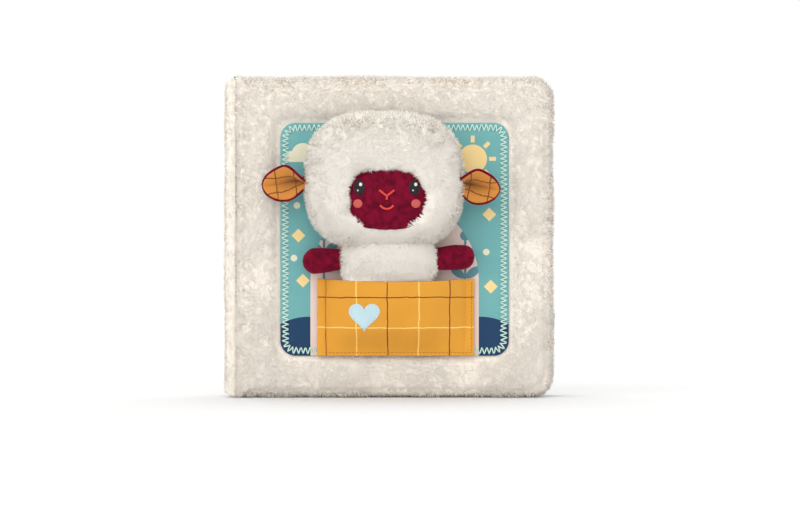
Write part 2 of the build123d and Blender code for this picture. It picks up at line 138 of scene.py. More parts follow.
class PocketSettings(bpy.types.PropertyGroup):
    cloth_thickness: length_setting("Cloth", "Thickness of the folded cloth", 1.3)
    line_width: length_setting("Check Line", "Width of a line of the check", 0.7)
    cloth: colour_setting("Cloth Colour", "Pocket cloth", 221, 155, 53)
    plum: colour_setting("Plum Line", "Dark line of the check", 122, 46, 40)
    pale: colour_setting("Pale Line", "Pale line of the check", 252, 209, 120)
    patch: colour_setting("Patch", "Heart patch", 188, 217, 226)
    thread: colour_setting("Thread", "Stitches along the pocket's edges", 205, 128, 38)


class WoolSettings(bpy.types.PropertyGroup):
    pile: length_setting("Pile", "Length of a lock of the lamb's wool", 4.5)
    lock_width: length_setting("Lock Width", "Width of a lock at its root", 1.25)
    inset: length_setting("Backing Inset", "How far the backing lies inside the wool's outline", 2.2)
    locks: locks_setting("Locks on the head", 40000, 100)
    tip: colour_setting("Tip", "Colour of the wool's tips", 255, 251, 244)
    # Painted shade: the root colour is a little darker than the tip, for the shadow deep between the wool's
    # locks.
    root: colour_setting("Root", "Colour between the locks", 248, 241, 231)


class VelvetSettings(bpy.types.PropertyGroup):
    cloth: colour_setting("Cloth", "Face, arms and backs of the ears", 124, 10, 44)
    # Painted shade: the pressed nap's darker colour stands in for nap that turns the light away.
    crushed_nap_shade: colour_setting("Crushed", "Velvet where its nap is pressed", 78, 3, 24)
    ear_lining: colour_setting("Ear Lining", "Cotton inside the ears", 200, 131, 57)
    ear_line: colour_setting("Ear Check", "Line of the check inside the ears", 118, 62, 30)
    eye: colour_setting("Eye", "Sewn eyes", 22, 16, 20)
    shine: colour_setting("Shine", "White stitches of the eyes", 240, 240, 242)
    smile: colour_setting("Smile", "Sewn nose and smile", 232, 70, 56)
    cheek: colour_setting("Cheek", "Sewn cheeks", 205, 92, 84)


class StageSettings(bpy.types.PropertyGroup):
    distance: length_setting("Camera Distance", "From the lens to the front cover", 1900, 300)
    view_width: length_setting("View Width", "Width of the picture at the cover", 531.8, 100)
    centre_x: length_setting("Centre", "Middle of the picture, sideways", 7.6)
    centre_z: length_setting("Height", "Middle of the picture, above the floor", 87.7)
    key: strength_setting("Key Light", "Strength of the main light", 1.6)
    fill: strength_setting("Fill Light", "Strength of the second light", 0.9)
    top: strength_setting("Top Light", "Strength of the light from above", 1.4)
    air: strength_setting("Surround", "Strength of the light from all round", 0.62)


SETTINGS = {
    "book_fleece": FleeceSettings,
    "book_lining": LiningSettings,
    "book_pages": PagesSettings,
    "book_panel": PanelSettings,
    "book_pocket": PocketSettings,
    "lamb_wool": WoolSettings,
    "lamb_velvet": VelvetSettings,
    "book_stage": StageSettings,
}


# Surfaces

# The random lattice of the soft noise repeats after this many cells.
NOISE_CELLS = 24

# How a lock stands: the shares of normal and lean in its direction, how deep its root is sunk, how
# high its ridge is over its half width, and how far its shading turns from the pile's own.
LOCK_UP, LOCK_OVER, LOCK_SINK, LOCK_RIDGE, LOCK_TURN = 0.5, 0.9, 0.6, 0.4, 0.28

# Heights of the two swells of a clumped backing, and sizes of the second swell and of the long one
# in clumps.
SWELL, SMALL_SWELL = 0.25, 0.12
SMALL_CLUMP, LONG_CLUMP = 0.45, 4

# The parts of a lock's fall: its clump's, its small clump's and its own, and the size of the small
# clump in clumps. The whole fall is held between the least and the most.
DRIFT, SMALL_DRIFT, OWN_DRIFT, DRIFT_CLUMP = 0.55, 0.8, 0.3, 0.4
LEAST_FALL, MOST_FALL = 0.6, 0.95


def soft_noise(points, cell, seed):
    """Smooth noise from -1 to 1: random values on a cubic lattice, eased between its corners."""
    table = np.random.default_rng(seed).random((NOISE_CELLS,) * 3)
    scaled = points / cell
    base = np.floor(scaled).astype(int)
    part = scaled - base
    part = part * part * (3 - 2 * part)
    total = 0
    for corner in range(8):
        step = np.array([(corner >> axis) & 1 for axis in range(3)])
        weight = np.prod(np.where(step, part, 1 - part), axis=-1)
        place = (base + step) % NOISE_CELLS
        total = total + weight * table[place[..., 0], place[..., 1], place[..., 2]]
    return 2 * total - 1


def ease(value):
    """0 below 0, 1 above 1, and a smooth S between them."""
    value = np.clip(value, 0, 1)
    return value * value * (3 - 2 * value)


def unit(vectors):
    """The vectors at length 1."""
    return vectors / np.maximum(np.linalg.norm(vectors, axis=-1, keepdims=True), 1e-12)


def grid_quads(rows, columns, around):
    """The faces between the points of a grid, closed round its columns if around is true."""
    row = np.arange(rows - 1)[:, None] * columns
    column = np.arange(columns if around else columns - 1)[None, :]
    beside = (column + 1) % columns
    corners = (row + column, row + beside, row + columns + beside, row + columns + column)
    return np.stack(np.broadcast_arrays(*corners), axis=-1).reshape(-1, 4)


def outward(vertices, quads, triangles):
    """Turns a closed surface's faces outward: its volume, summed from the origin, is above 0."""
    halves = np.concatenate([quads[:, [0, 1, 2]], quads[:, [0, 2, 3]], triangles])
    first, second, third = (vertices[halves[:, corner]] for corner in range(3))
    volume = np.einsum("ij,ij->i", first, np.cross(second, third)).sum()
    if volume < 0:
        return vertices, quads[:, ::-1], triangles[:, ::-1]
    return vertices, quads, triangles


def closed_shell(points):
    """A grid closed round its columns, with a fan from each end row to that row's middle point."""
    rows, columns = points.shape[:2]
    middles = np.stack([points[0].mean(axis=0), points[-1].mean(axis=0)])
    vertices = np.concatenate([points.reshape(-1, 3), middles])
    ring = np.arange(columns)
    after = (ring + 1) % columns
    last = (rows - 1) * columns
    near = np.stack([after, ring, np.full(columns, rows * columns)], axis=1)
    far = np.stack([last + ring, last + after, np.full(columns, rows * columns + 1)], axis=1)
    return outward(vertices, grid_quads(rows, columns, True), np.concatenate([near, far]))


def grid_normals(points):
    """Unit normals of a grid closed round its columns, turned away from its middle by its volume."""
    along = np.gradient(points, axis=0)
    across = np.roll(points, -1, axis=1) - np.roll(points, 1, axis=1)
    normals = unit(np.cross(across, along))
    turned = closed_shell(points)[1][0]
    first = grid_quads(*points.shape[:2], True)[0]
    return normals if (turned == first).all() else -normals


def joined(parts):
    """Several surfaces as one: their points, quads and triangles, one after another."""
    shift = np.cumsum([0] + [len(part[0]) for part in parts[:-1]])
    vertices = np.concatenate([part[0] for part in parts])
    quads = np.concatenate([part[1] + start for part, start in zip(parts, shift)])
    triangles = np.concatenate([part[2] + start for part, start in zip(parts, shift)])
    return vertices, quads, triangles


def corner_facing(surface, facing):
    """The direction that each corner of each face shades by: its point's, or the face's own where
    that points the other way, as on the underside of a lock."""
    vertices, quads, triangles = surface
    first, second, third = (vertices[triangles[:, corner]] for corner in range(3))
    flat = unit(np.cross(second - first, third - first))[:, None]
    soft = facing[triangles]
    under = (soft * flat).sum(axis=2) < 0
    soft = np.where(under[..., None], flat, soft)
    return np.concatenate([facing[quads.ravel()], soft.reshape(-1, 3)])


def new_piece(name, surface, material, body, replaced=(), depth=None, plan=None, facing=None):
    """Puts a surface into a mesh object in metres, with its material and body.

    facing gives each point the direction that it shades by, where that isn't the mesh's own.
    """
    vertices, quads, triangles = surface
    mesh = bpy.data.meshes.new(name)
    corners = np.concatenate([quads.ravel(), triangles.ravel()]).astype(np.int32)
    starts = np.concatenate([np.arange(len(quads)) * 4, len(quads) * 4 + np.arange(len(triangles)) * 3])
    mesh.vertices.add(len(vertices))
    mesh.vertices.foreach_set("co", (vertices * MM).astype(np.float32).ravel())
    mesh.loops.add(len(corners))
    mesh.loops.foreach_set("vertex_index", corners)
    mesh.polygons.add(len(starts))
    mesh.polygons.foreach_set("loop_start", starts.astype(np.int32))
    mesh.update(calc_edges=True)
    mesh.shade_smooth()
    if facing is not None:
        mesh.normals_split_custom_set(corner_facing(surface, facing))
    if depth is not None:
        layer = mesh.attributes.new("pile_depth", "FLOAT", "POINT")
        layer.data.foreach_set("value", depth.astype(np.float32))
    if plan is not None:
        layer = mesh.uv_layers.new(name="cloth_plan")
        layer.data.foreach_set("uv", plan[corners].astype(np.float32).ravel())
    piece = bpy.data.objects.new(name, mesh)
    bpy.context.scene.collection.objects.link(piece)
    mesh.materials.append(material)
    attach(piece, body)
    if replaced:
        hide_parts(*replaced)
    return piece


def locks(places, normals, lean, length, width):
    """Closed three-sided locks: a root ring sunk in the backing and a tip that leans over.

    The tip stands off along the unit sum of a share of the normal and a share of the lean. The ring
    is low and wide, with a ridge on the side away from the backing. Each point shades by the pile's
    own normal, turned a little towards its side of the lock.
    """
    count = len(places)
    tip = places + length[:, None] * unit(LOCK_UP * normals + LOCK_OVER * lean)
    root = places - LOCK_SINK * normals
    first = unit(np.cross(unit(tip - root), lean + 0.01 * normals + 1e-6))
    second = unit(np.cross(unit(tip - root), first))
    second *= np.sign(np.einsum("ij,ij->i", second, normals))[:, None]
    sides = [-first, first, LOCK_RIDGE * second]
    ring = [root + 0.5 * width[:, None] * side for side in sides]
    vertices = np.stack(ring + [tip], axis=1).reshape(-1, 3)
    start = (np.arange(count) * 4)[:, None, None]
    sense = np.einsum("ij,ij->i", np.cross(first, second), tip - root) > 0
    triangles = start + np.array([[0, 2, 1], [0, 1, 3], [1, 2, 3], [2, 0, 3]])
    triangles = np.where(sense[:, None, None], triangles, triangles[..., ::-1])
    depth = np.tile(np.array([0.0, 0.0, 0.0, 1.0]), count)
    own = unit(np.stack(sides + [lean], axis=1))
    facing = unit(normals[:, None] + LOCK_TURN * own).reshape(-1, 3)
    return (vertices, np.zeros((0, 4), int), triangles.reshape(-1, 3)), depth, facing


def scattered(points, normals, share, count, seed):
    """Places spread over a grid, each face of it getting its part of the count by area and share."""
    rng = np.random.default_rng(seed)
    quads = grid_quads(*points.shape[:2], True)
    flat, flat_normals, flat_share = points.reshape(-1, 3), normals.reshape(-1, 3), share.ravel()
    corners = flat[quads]
    diagonals = np.cross(corners[:, 2] - corners[:, 0], corners[:, 3] - corners[:, 1])
    area = 0.5 * np.linalg.norm(diagonals, axis=1)
    running = np.cumsum(area * flat_share[quads].mean(axis=1))
    chosen = np.searchsorted(running, rng.random(count) * running[-1])
    one, two = rng.random((2, count, 1))
    weights = ((1 - one) * (1 - two), one * (1 - two), one * two, (1 - one) * two)
    places = sum(weight * corners[chosen, corner] for corner, weight in enumerate(weights))
    ups = sum(weight * flat_normals[quads[chosen, corner]] for corner, weight in enumerate(weights))
    return places, unit(ups), rng, quads[chosen, 0]


def pile_on(points, share, reach, lean, count, settings, clump, seed, wave, lie=None):
    """Fleece or wool on a grid: its clumped backing, and locks that lean together in clumps.

    A lock's fall is the given lean plus a noise of clump size, a smaller one and a little of its
    own, with the part along the normal taken out, so that neighbours fall the same way. share is
    how densely the locks stand and reach how long they are. wave is the height of the long soft
    hollows, and lie is how far the locks lie down, 1 where it isn't given.
    """
    pile = settings.pile / MM
    width = settings.lock_width / MM
    normals = grid_normals(points)
    swell = soft_noise(points, clump, seed) * SWELL
    swell = swell + soft_noise(points, clump * SMALL_CLUMP, seed + 1) * SMALL_SWELL
    swell = swell + soft_noise(points, clump * LONG_CLUMP, seed + 11) * wave
    backing = points + normals * (swell * np.clip(share, 0, reach))[..., None]
    shell = closed_shell(backing)
    places, ups, rng, origin = scattered(backing, normals, share, count, seed + 2)
    drift = np.stack([soft_noise(places, clump, seed + 3 + axis) for axis in range(3)], axis=1)
    small = np.stack([soft_noise(places, clump * DRIFT_CLUMP, seed + 7 + axis) for axis in range(3)], axis=1)
    fall = lean.reshape(-1, 3)[origin] + DRIFT * drift + SMALL_DRIFT * small
    fall = fall + rng.normal(0, OWN_DRIFT, (count, 3))
    fall -= ups * np.einsum("ij,ij->i", fall, ups)[:, None]
    size = np.linalg.norm(fall, axis=1, keepdims=True)
    fall = fall / np.maximum(size, 1e-9) * np.clip(size, LEAST_FALL, MOST_FALL)
    if lie is not None:
        fall *= lie.ravel()[origin][:, None]
    tall = pile * reach.ravel()[origin] * rng.uniform(0.7, 1.15, count)
    thick = width * rng.uniform(0.75, 1.25, count) * (0.6 + 0.4 * reach.ravel()[origin])
    tufts, tip_depth, tip_facing = locks(places, ups, fall, tall, thick)
    ends = np.stack([normals[0].mean(axis=0), normals[-1].mean(axis=0)])
    facing = np.concatenate([normals.reshape(-1, 3), unit(ends), tip_facing])
    return joined([shell, tufts]), np.concatenate([np.zeros(len(shell[0])), tip_depth]), facing


def level_at_fold(facing, share, side):
    """Turns the shading of the pile beside a fold to the cover's face, so that it runs on over it."""
    return unit(facing * (1 - share)[:, None] + share[:, None] * np.array([0.0, side, 0.0]))


def rounded_path(low, high, near_radius, far_radius, side_count, corner_count):
    """A rounded rectangle walked once round: straight sides joined by quarter circles."""
    near, far = near_radius, far_radius
    share = np.arange(side_count)[:, None] / side_count
    turn = np.arange(corner_count) / corner_count * np.pi / 2
    sides = (
        ((low[0] + near, low[1]), (high[0] - far, low[1])),
        ((high[0], low[1] + far), (high[0], high[1] - far)),
        ((high[0] - far, high[1]), (low[0] + near, high[1])),
        ((low[0], high[1] - near), (low[0], low[1] + near)),
    )
    corners = (
        ((high[0] - far, low[1] + far), far, -np.pi / 2),
        ((high[0] - far, high[1] - far), far, 0.0),
        ((low[0] + near, high[1] - near), near, np.pi / 2),
        ((low[0] + near, low[1] + near), near, np.pi),
    )
    walk = []
    for (start, end), (centre, radius, first) in zip(sides, corners):
        walk.append(np.array(start) + share * (np.array(end) - np.array(start)))
        angle = first + turn
        walk.append(np.array(centre) + radius * np.stack([np.cos(angle), np.sin(angle)], axis=1))
    return np.concatenate(walk)


def tube(path, radii, sides, closed, up):
    """A thread along a path: at each point an oval ring, square to the path and held by up."""
    if closed:
        ahead = np.roll(path, -1, axis=0) - np.roll(path, 1, axis=0)
    else:
        ahead = np.gradient(path, axis=0)
    ahead = unit(ahead)
    beside = unit(np.cross(ahead, up))
    above = np.cross(beside, ahead)
    turn = np.arange(sides) * 2 * np.pi / sides
    ring = radii[0] * np.cos(turn)[None, :, None] * beside[:, None]
    ring = ring + radii[1] * np.sin(turn)[None, :, None] * above[:, None]
    points = path[:, None] + ring
    if not closed:
        ends = [path[:1, None] + 0.35 * ring[:1], points, path[-1:, None] + 0.35 * ring[-1:]]
        return closed_shell(np.concatenate(ends))
    quads = grid_quads(len(path) + 1, sides, True) % (len(path) * sides)
    return outward(points.reshape(-1, 3), quads, np.zeros((0, 3), int))


def dashes(starts, ends, lift, radius):
    """Short stitches from start to end, each a small closed spindle that stands proud by lift."""
    parts = []
    share = np.array([0.0, 0.2, 0.5, 0.8, 1.0])
    rise = np.sin(share * np.pi)
    full = np.array([0.35, 0.9, 1.0, 0.9, 0.35])
    turn = np.arange(6) * np.pi / 3
    along = unit(ends - starts)
    beside = unit(np.cross(along, np.array([0.0, -1.0, 0.0])))
    spine = starts[:, None] + share[None, :, None] * (ends - starts)[:, None]
    spine[..., 1] -= lift * rise[None, :]
    ring = np.cos(turn)[:, None] * beside[:, None, None, :]
    ring = ring + np.sin(turn)[:, None] * np.array([0.0, -0.8, 0.0])
    points = spine[:, :, None, :] + radius * full[None, :, None, None] * ring
    for stitch in points:
        parts.append(closed_shell(stitch))
    return joined(parts)


# Materials


class Desk:
    """Places nodes in one tree and joins them, so that a pattern reads as a sum."""

    def __init__(self, tree):
        self.tree = tree

    def add(self, kind, **values):
        made = self.tree.nodes.new(kind)
        for name, value in values.items():
            setattr(made, name, value)
        return made

    def feed(self, socket, value):
        if isinstance(value, bpy.types.NodeSocket):
            self.tree.links.new(value, socket)
        elif value is not None:
            socket.default_value = value

    def sum(self, operation, *terms):
        made = self.add("ShaderNodeMath", operation=operation)
        for socket, term in zip(made.inputs, terms):
            self.feed(socket, term)
        return made.outputs[0]

    def vector(self, operation, *terms):
        made = self.add("ShaderNodeVectorMath", operation=operation)
        for socket, term in zip(made.inputs, terms):
            self.feed(socket, term)
        return made.outputs["Value" if operation in ("DISTANCE", "LENGTH", "DOT_PRODUCT") else "Vector"]

    def mix(self, share, first, second):
        made = self.add("ShaderNodeMix", data_type="RGBA")
        self.feed(made.inputs["Factor"], share)
        self.feed(made.inputs[6], first)
        self.feed(made.inputs[7], second)
        return made.outputs[2]

    def noise(self, place, scale, detail=2.0):
        made = self.add("ShaderNodeTexNoise")
        self.feed(made.inputs["Vector"], place)
        made.inputs["Scale"].default_value = scale
        made.inputs["Detail"].default_value = detail
        return made.outputs["Fac"]

    def object_place(self):
        """Object coordinates in millimetres."""
        coordinates = self.add("ShaderNodeTexCoord")
        made = self.add("ShaderNodeVectorMath", operation="SCALE")
        self.feed(made.inputs[0], coordinates.outputs["Object"])
        made.inputs["Scale"].default_value = 1000.0
        return made.outputs[0]

    def split(self, place):
        """The outputs that give a place's three parts."""
        made = self.add("ShaderNodeSeparateXYZ")
        self.feed(made.inputs[0], place)
        return made.outputs

    def raise_bump(self, shader, height, strength, rise):
        """Feeds a bump to a shader's normal, its rise in millimetres."""
        made = self.add("ShaderNodeBump")
        made.inputs["Strength"].default_value = strength
        made.inputs["Distance"].default_value = rise * MM
        self.feed(made.inputs["Height"], height)
        self.feed(shader.inputs["Normal"], made.outputs[0])

    def group(self, tree, **values):
        made = self.add("ShaderNodeGroup")
        made.node_tree = tree
        for name, value in values.items():
            self.feed(made.inputs[name.replace("_", " ").title()], value)
        return made


def new_material(name):
    """An empty material with a Principled shader: its desk, its shader and itself.

    Its name ends in _cloth, which keeps it apart from the plain material of the solid's slot.
    """
    material = bpy.data.materials.new(name + "_cloth")
    material.use_nodes = True
    shader = material.node_tree.nodes["Principled BSDF"]
    shader.inputs["Specular IOR Level"].default_value = 0.25
    return Desk(material.node_tree), shader, material


def group_tree(name, inputs, outputs):
    """An empty node group with its sockets."""
    tree = bpy.data.node_groups.get(name)
    if tree:
        bpy.data.node_groups.remove(tree)
    tree = bpy.data.node_groups.new(name, "ShaderNodeTree")
    for label, kind, value in inputs:
        socket = tree.interface.new_socket(name=label, in_out="INPUT", socket_type=kind)
        if value is not None:
            socket.default_value = value
    for label, kind in outputs:
        tree.interface.new_socket(name=label, in_out="OUTPUT", socket_type=kind)
    desk = Desk(tree)
    return tree, desk, desk.add("NodeGroupInput"), desk.add("NodeGroupOutput")


def weave_group():
    """Plain weave: two sets of ribs over and under each other, with slubs; its shade is random tone and
    painted rib shade.
    """
    tree, desk, given, made = group_tree(
        "Plain Weave",
        [("Place", "NodeSocketVector", None), ("Thread", "NodeSocketFloat", 0.55)],
        [("Height", "NodeSocketFloat"), ("Shade", "NodeSocketFloat")],
    )
    parts = desk.split(given.outputs["Place"])
    turn = desk.sum("DIVIDE", np.pi, given.outputs["Thread"])
    across = desk.sum("SINE", desk.sum("MULTIPLY", parts["X"], turn))
    upward = desk.sum("SINE", desk.sum("MULTIPLY", parts["Z"], turn))
    ribs = desk.sum("MULTIPLY", across, upward)
    slub = desk.noise(given.outputs["Place"], 0.9, 3.0)
    desk.feed(made.inputs["Height"], desk.sum("MULTIPLY_ADD", ribs, 0.35, slub))
    soft = desk.noise(given.outputs["Place"], 0.05, 3.0)
    blotch = desk.sum("MULTIPLY_ADD", soft, 0.16, 0.9)
    # Painted shade: the shade darkens a little where the ribs dip, on top of the random blotches.
    desk.feed(made.inputs["Shade"], desk.sum("MULTIPLY_ADD", ribs, 0.02, blotch))
    return tree


def disc_group():
    """1 inside a disc of the panel's plane and 0 outside it."""
    tree, desk, given, made = group_tree(
        "Disc Mask",
        [
            ("Place", "NodeSocketVector", None),
            ("Centre", "NodeSocketVector", None),
            ("Radius", "NodeSocketFloat", 1.0),
        ],
        [("Mask", "NodeSocketFloat")],
    )
    reach = desk.vector("DISTANCE", given.outputs["Place"], given.outputs["Centre"])
    desk.feed(made.inputs["Mask"], desk.sum("LESS_THAN", reach, given.outputs["Radius"]))
    return tree


def line_group():
    """1 within half a line's width of a value and 0 elsewhere."""
    tree, desk, given, made = group_tree(
        "Line Mask",
        [
            ("Value", "NodeSocketFloat", 0.0),
            ("Middle", "NodeSocketFloat", 0.0),
            ("Width", "NodeSocketFloat", 1.0),
        ],
        [("Mask", "NodeSocketFloat")],
    )
    gap = desk.sum("ABSOLUTE", desk.sum("SUBTRACT", given.outputs["Value"], given.outputs["Middle"]))
    half = desk.sum("MULTIPLY", given.outputs["Width"], 0.5)
    desk.feed(made.inputs["Mask"], desk.sum("LESS_THAN", gap, half))
    return tree


GROUPS = {}


def opaque(colour):
    """A colour with full alpha."""
    return (*colour, 1.0)


def pile_material(name, tip, root, seed):
    """Fleece or wool: root colour, darker as painted shade, deep in the pile; tip colour at its ends; softly
    blotched.
    """
    desk, shader, material = new_material(name)
    place = desk.object_place()
    depth = desk.add("ShaderNodeAttribute", attribute_name="pile_depth").outputs["Fac"]
    moved = desk.vector("ADD", place, (seed * 13.0, 0.0, seed * 7.0))
    blotch = desk.noise(moved, 0.11, 3.0)
    fibre = desk.noise(moved, 1.3, 2.0)
    # The pile's depth mixes from the darker root colour, painted shade deep in the pile, to the tip colour.
    share = desk.sum("MULTIPLY_ADD", depth, 0.72, desk.sum("MULTIPLY", blotch, 0.5))
    made = desk.add("ShaderNodeClamp")
    desk.feed(made.inputs["Value"], share)
    desk.feed(shader.inputs["Base Color"], desk.mix(made.outputs[0], opaque(root), opaque(tip)))
    desk.raise_bump(shader, fibre, 0.28, 0.5)
    shader.inputs["Roughness"].default_value = 0.95
    shader.inputs["Sheen Weight"].default_value = 0.4
    shader.inputs["Sheen Roughness"].default_value = 0.6
    shader.inputs["Sheen Tint"].default_value = (1.0, 0.93, 0.84, 1.0)
    return material


def cotton_material(name, colour_of, thread=0.55, bump=0.25, uv=False):
    """Printed cotton: colour_of(desk, place) gives the print, the weave gives its bump and shade."""
    desk, shader, material = new_material(name)
    place = desk.object_place()
    if uv:
        plan = desk.add("ShaderNodeUVMap", uv_map="cloth_plan").outputs[0]
        parts = desk.split(plan)
        join = desk.add("ShaderNodeCombineXYZ")
        desk.feed(join.inputs["X"], parts["X"])
        desk.feed(join.inputs["Z"], parts["Y"])
        place = join.outputs[0]
    weave = desk.group(GROUPS["weave"], place=place, thread=thread)
    shade = weave.outputs["Shade"]
    tint = desk.add("ShaderNodeCombineColor")
    for channel in range(3):
        desk.feed(tint.inputs[channel], shade)
    product = desk.add("ShaderNodeMix", data_type="RGBA", blend_type="MULTIPLY")
    product.inputs["Factor"].default_value = 1.0
    desk.feed(product.inputs[6], colour_of(desk, place))
    desk.feed(product.inputs[7], tint.outputs[0])
    desk.feed(shader.inputs["Base Color"], product.outputs[2])
    desk.raise_bump(shader, weave.outputs["Height"], bump, 0.3)
    shader.inputs["Roughness"].default_value = 0.85
    shader.inputs["Sheen Weight"].default_value = 0.1
    return material


def plain_colour(colour):
    """A print of one colour."""
    return lambda desk, place: opaque(colour)


def thread_material(name, colour, pitch=0.35, axis="X"):
    """Sewing thread or satin stitch: fine parallel ridges with a soft gloss, darker between them as painted
    shade.
    """
    desk, shader, material = new_material(name)
    place = desk.object_place()
    parts = desk.split(place)
    wander = desk.noise(place, 0.8, 2.0)
    turn = desk.sum("MULTIPLY_ADD", parts[axis], 2 * np.pi / pitch, desk.sum("MULTIPLY", wander, 5.0))
    ridge = desk.sum("SINE", turn)
    # Painted shade: the colour darkens in the grooves between the ridges, where the bump dips.
    dark = tuple(0.7 * value for value in colour)
    share = desk.sum("MULTIPLY_ADD", ridge, 0.25, 0.75)
    desk.feed(shader.inputs["Base Color"], desk.mix(share, opaque(dark), opaque(colour)))
    desk.raise_bump(shader, ridge, 0.4, 0.2)
    shader.inputs["Roughness"].default_value = 0.5
    shader.inputs["Sheen Weight"].default_value = 0.15
    return material


def velvet_material(name, cloth, crushed_nap_shade):
    """Velvet: the nap lies in patches, their light and dark painted as sheen and shade, with a sheen on its
    edges.
    """
    desk, shader, material = new_material(name)
    place = desk.object_place()
    patches = desk.noise(place, 0.24, 3.0)
    made = desk.add("ShaderNodeMapRange")
    desk.feed(made.inputs["Value"], patches)
    made.inputs["From Min"].default_value = 0.36
    made.inputs["From Max"].default_value = 0.62
    nap = desk.noise(place, 2.2, 2.0)
    share = desk.sum("MULTIPLY_ADD", nap, 0.35, desk.sum("MULTIPLY", made.outputs[0], 0.75))
    # The patches mix the cloth colour with the darker pressed colour, as painted sheen and shade of the nap.
    desk.feed(shader.inputs["Base Color"], desk.mix(share, opaque(crushed_nap_shade), opaque(cloth)))
    desk.raise_bump(shader, nap, 0.5, 0.4)
    shader.inputs["Roughness"].default_value = 0.8
    shader.inputs["Sheen Weight"].default_value = 0.5
    shader.inputs["Sheen Roughness"].default_value = 0.4
    shader.inputs["Sheen Tint"].default_value = (0.8, 0.12, 0.25, 1.0)
    shader.inputs["Specular IOR Level"].default_value = 0.08
    return material


# Covers and spine

# Size of a clump of the covers' fleece in millimetres, the locks on the spine, how many locks fewer
# the back cover has than a half of the front cover, and the least height of a fibre over the floor.
FLEECE_CLUMP = 6.5
SPINE_LOCKS = 11000
BACK_FEWER_LOCKS = 8000
FLOOR_GAP = 0.15


def cover_grid(outer, inner, inner_span, face_depth, back_depth, hinge_share, settings, with_recess):
    """A fleece cover as rows from the tray edge, round the outer edge, to the middle of its face.

    A row is (distance inward, depth). A point of it lies between the outer and the inner outline,
    at its distance over the span between them. At the hinge the edge is drawn nearly square.
    """
    hinge = hinge_share[None, :]
    edge = (settings.inset / MM) * (1 - 0.86 * hinge)
    front_radius = 5.2 - 4.4 * hinge
    back_radius = 2.2 - 1.2 * hinge
    front = face_depth
    back = back_depth
    flat = np.ones_like(hinge)
    rows = []
    for inward in (5.5, 3.5):
        rows.append((edge + back_radius + inward, back * flat))
    for turn in np.linspace(np.pi / 2, 0, 5):
        deep = back - back_radius * (1 - np.sin(turn))
        rows.append((edge + back_radius * (1 - np.cos(turn)), deep * flat))
    for share in (0.34, 0.67):
        rows.append((edge * flat, (back - back_radius) * (1 - share) + (front + front_radius) * share))
    for turn in np.linspace(0, np.pi / 2, 7):
        rows.append((edge + front_radius * (1 - np.cos(turn)), front + front_radius * (1 - np.sin(turn))))
    start = edge + front_radius
    steps = 11 if with_recess else 34
    for share in np.linspace(0, 1, steps + 1)[1:]:
        inward = start + (inner_span - start) * share
        crown = 1.5 * np.sin(np.pi * np.clip(inward / 30, 0, 1)) if with_recess else 1.6 * ease(inward / 26)
        dip = 1.8 * ease((inward - inner_span + 6.0) / 5.5) if with_recess else 0
        rows.append((inward, front - crown + dip))
    inward = np.stack([np.broadcast_to(row[0], hinge.shape)[0] for row in rows])
    depth = np.stack([np.broadcast_to(row[1], hinge.shape)[0] for row in rows])
    share = (inward / inner_span)[..., None]
    plan = outer[None] * (1 - share) + inner[None] * share
    return np.stack([plan[..., 0], depth, plan[..., 1]], axis=-1), inward


def fleece_cover(settings, name, body, node, with_recess, count, halves, mirrored):
    """The fleece of one cover: its backing and locks, in one or two pieces."""
    low = cover_low[[0, 2]] / MM
    high = cover_high[[0, 2]] / MM
    front = cover_low[1] / MM
    back = cover_high[1] / MM
    outer = rounded_path(low, high, 2.0, 12.5, 78, 9)
    if with_recess:
        margin = np.array([1.2, 1.2])
        inner = rounded_path(
            panel_low[[0, 2]] / MM - margin, panel_high[[0, 2]] / MM + margin, 9.5, 9.5, 78, 9
        )
        span = 29.0
    else:
        middle = (low + high) / 2
        inner = rounded_path(middle - 1, middle + 1, 0.5, 0.5, 78, 9)
        span = 106.0
    hinge = ease(1 - (outer[:, 0] - low[0]) / 2.5)
    points, inward = cover_grid(outer, inner, span, front + 2.2, back - 0.6, hinge, settings, with_recess)
    share = np.ones(points.shape[:2])
    share[:2] = 0.25
    reach = np.ones(points.shape[:2])
    reach[:5] *= 0.55
    if with_recess:
        reach *= 1 - 0.6 * ease((inward - span + 7.0) / 6.5)
    lean = np.zeros_like(points)
    lean[..., 2] = -0.5 * ease((inward - 3) / 5)
    lean[..., 0] = -0.6 * hinge[None, :] * ease(1 - (inward - 1) / 3)
    lie = 0.3 + 0.7 * ease((inward - 1) / 6) * np.ones(points.shape[:2])
    if with_recess:
        foot = (inner[None, :, 1] < low[1] + 30) * ease((inward - span + 4.0) / 3.0)
        lean[..., 2] += 1.5 * foot
        reach = np.maximum(reach, 0.85 * foot)
    if mirrored:
        points[..., 1] *= -1
    material = bpy.data.materials["cover_fleece_cloth"]
    for half in range(halves):
        part = share
        if halves == 2:
            upper = points[..., 2] > (low[1] + high[1]) / 2
            part = share * np.where(upper, half == 0, half == 1)
        surface, depth, facing = pile_on(
            points, part, reach, lean, count, settings, FLEECE_CLUMP, 20 + 40 * half, 0.8, lie
        )
        place = surface[0]
        side = 1.0 if mirrored else -1.0
        beside_fold = ease(1 - (place[:, 0] - low[0]) / 7) * ease((side * place[:, 1] + front + 8) / 3)
        facing = level_at_fold(facing, beside_fold, side)
        if half:
            backing = len(closed_shell(points)[0])
            vertices, quads, triangles = surface
            keep_quads = quads[(quads >= backing).all(axis=1)] - backing
            keep_triangles = triangles[(triangles >= backing).all(axis=1)] - backing
            surface = (vertices[backing:], keep_quads, keep_triangles)
            depth = depth[backing:]
            facing = facing[backing:]
        surface[0][:, 2] = np.maximum(surface[0][:, 2], FLOOR_GAP)
        label = name if halves == 1 else name + ("_upper", "_lower")[half]
        piece = new_piece(label, surface, material, body, (node,), depth, facing=facing)


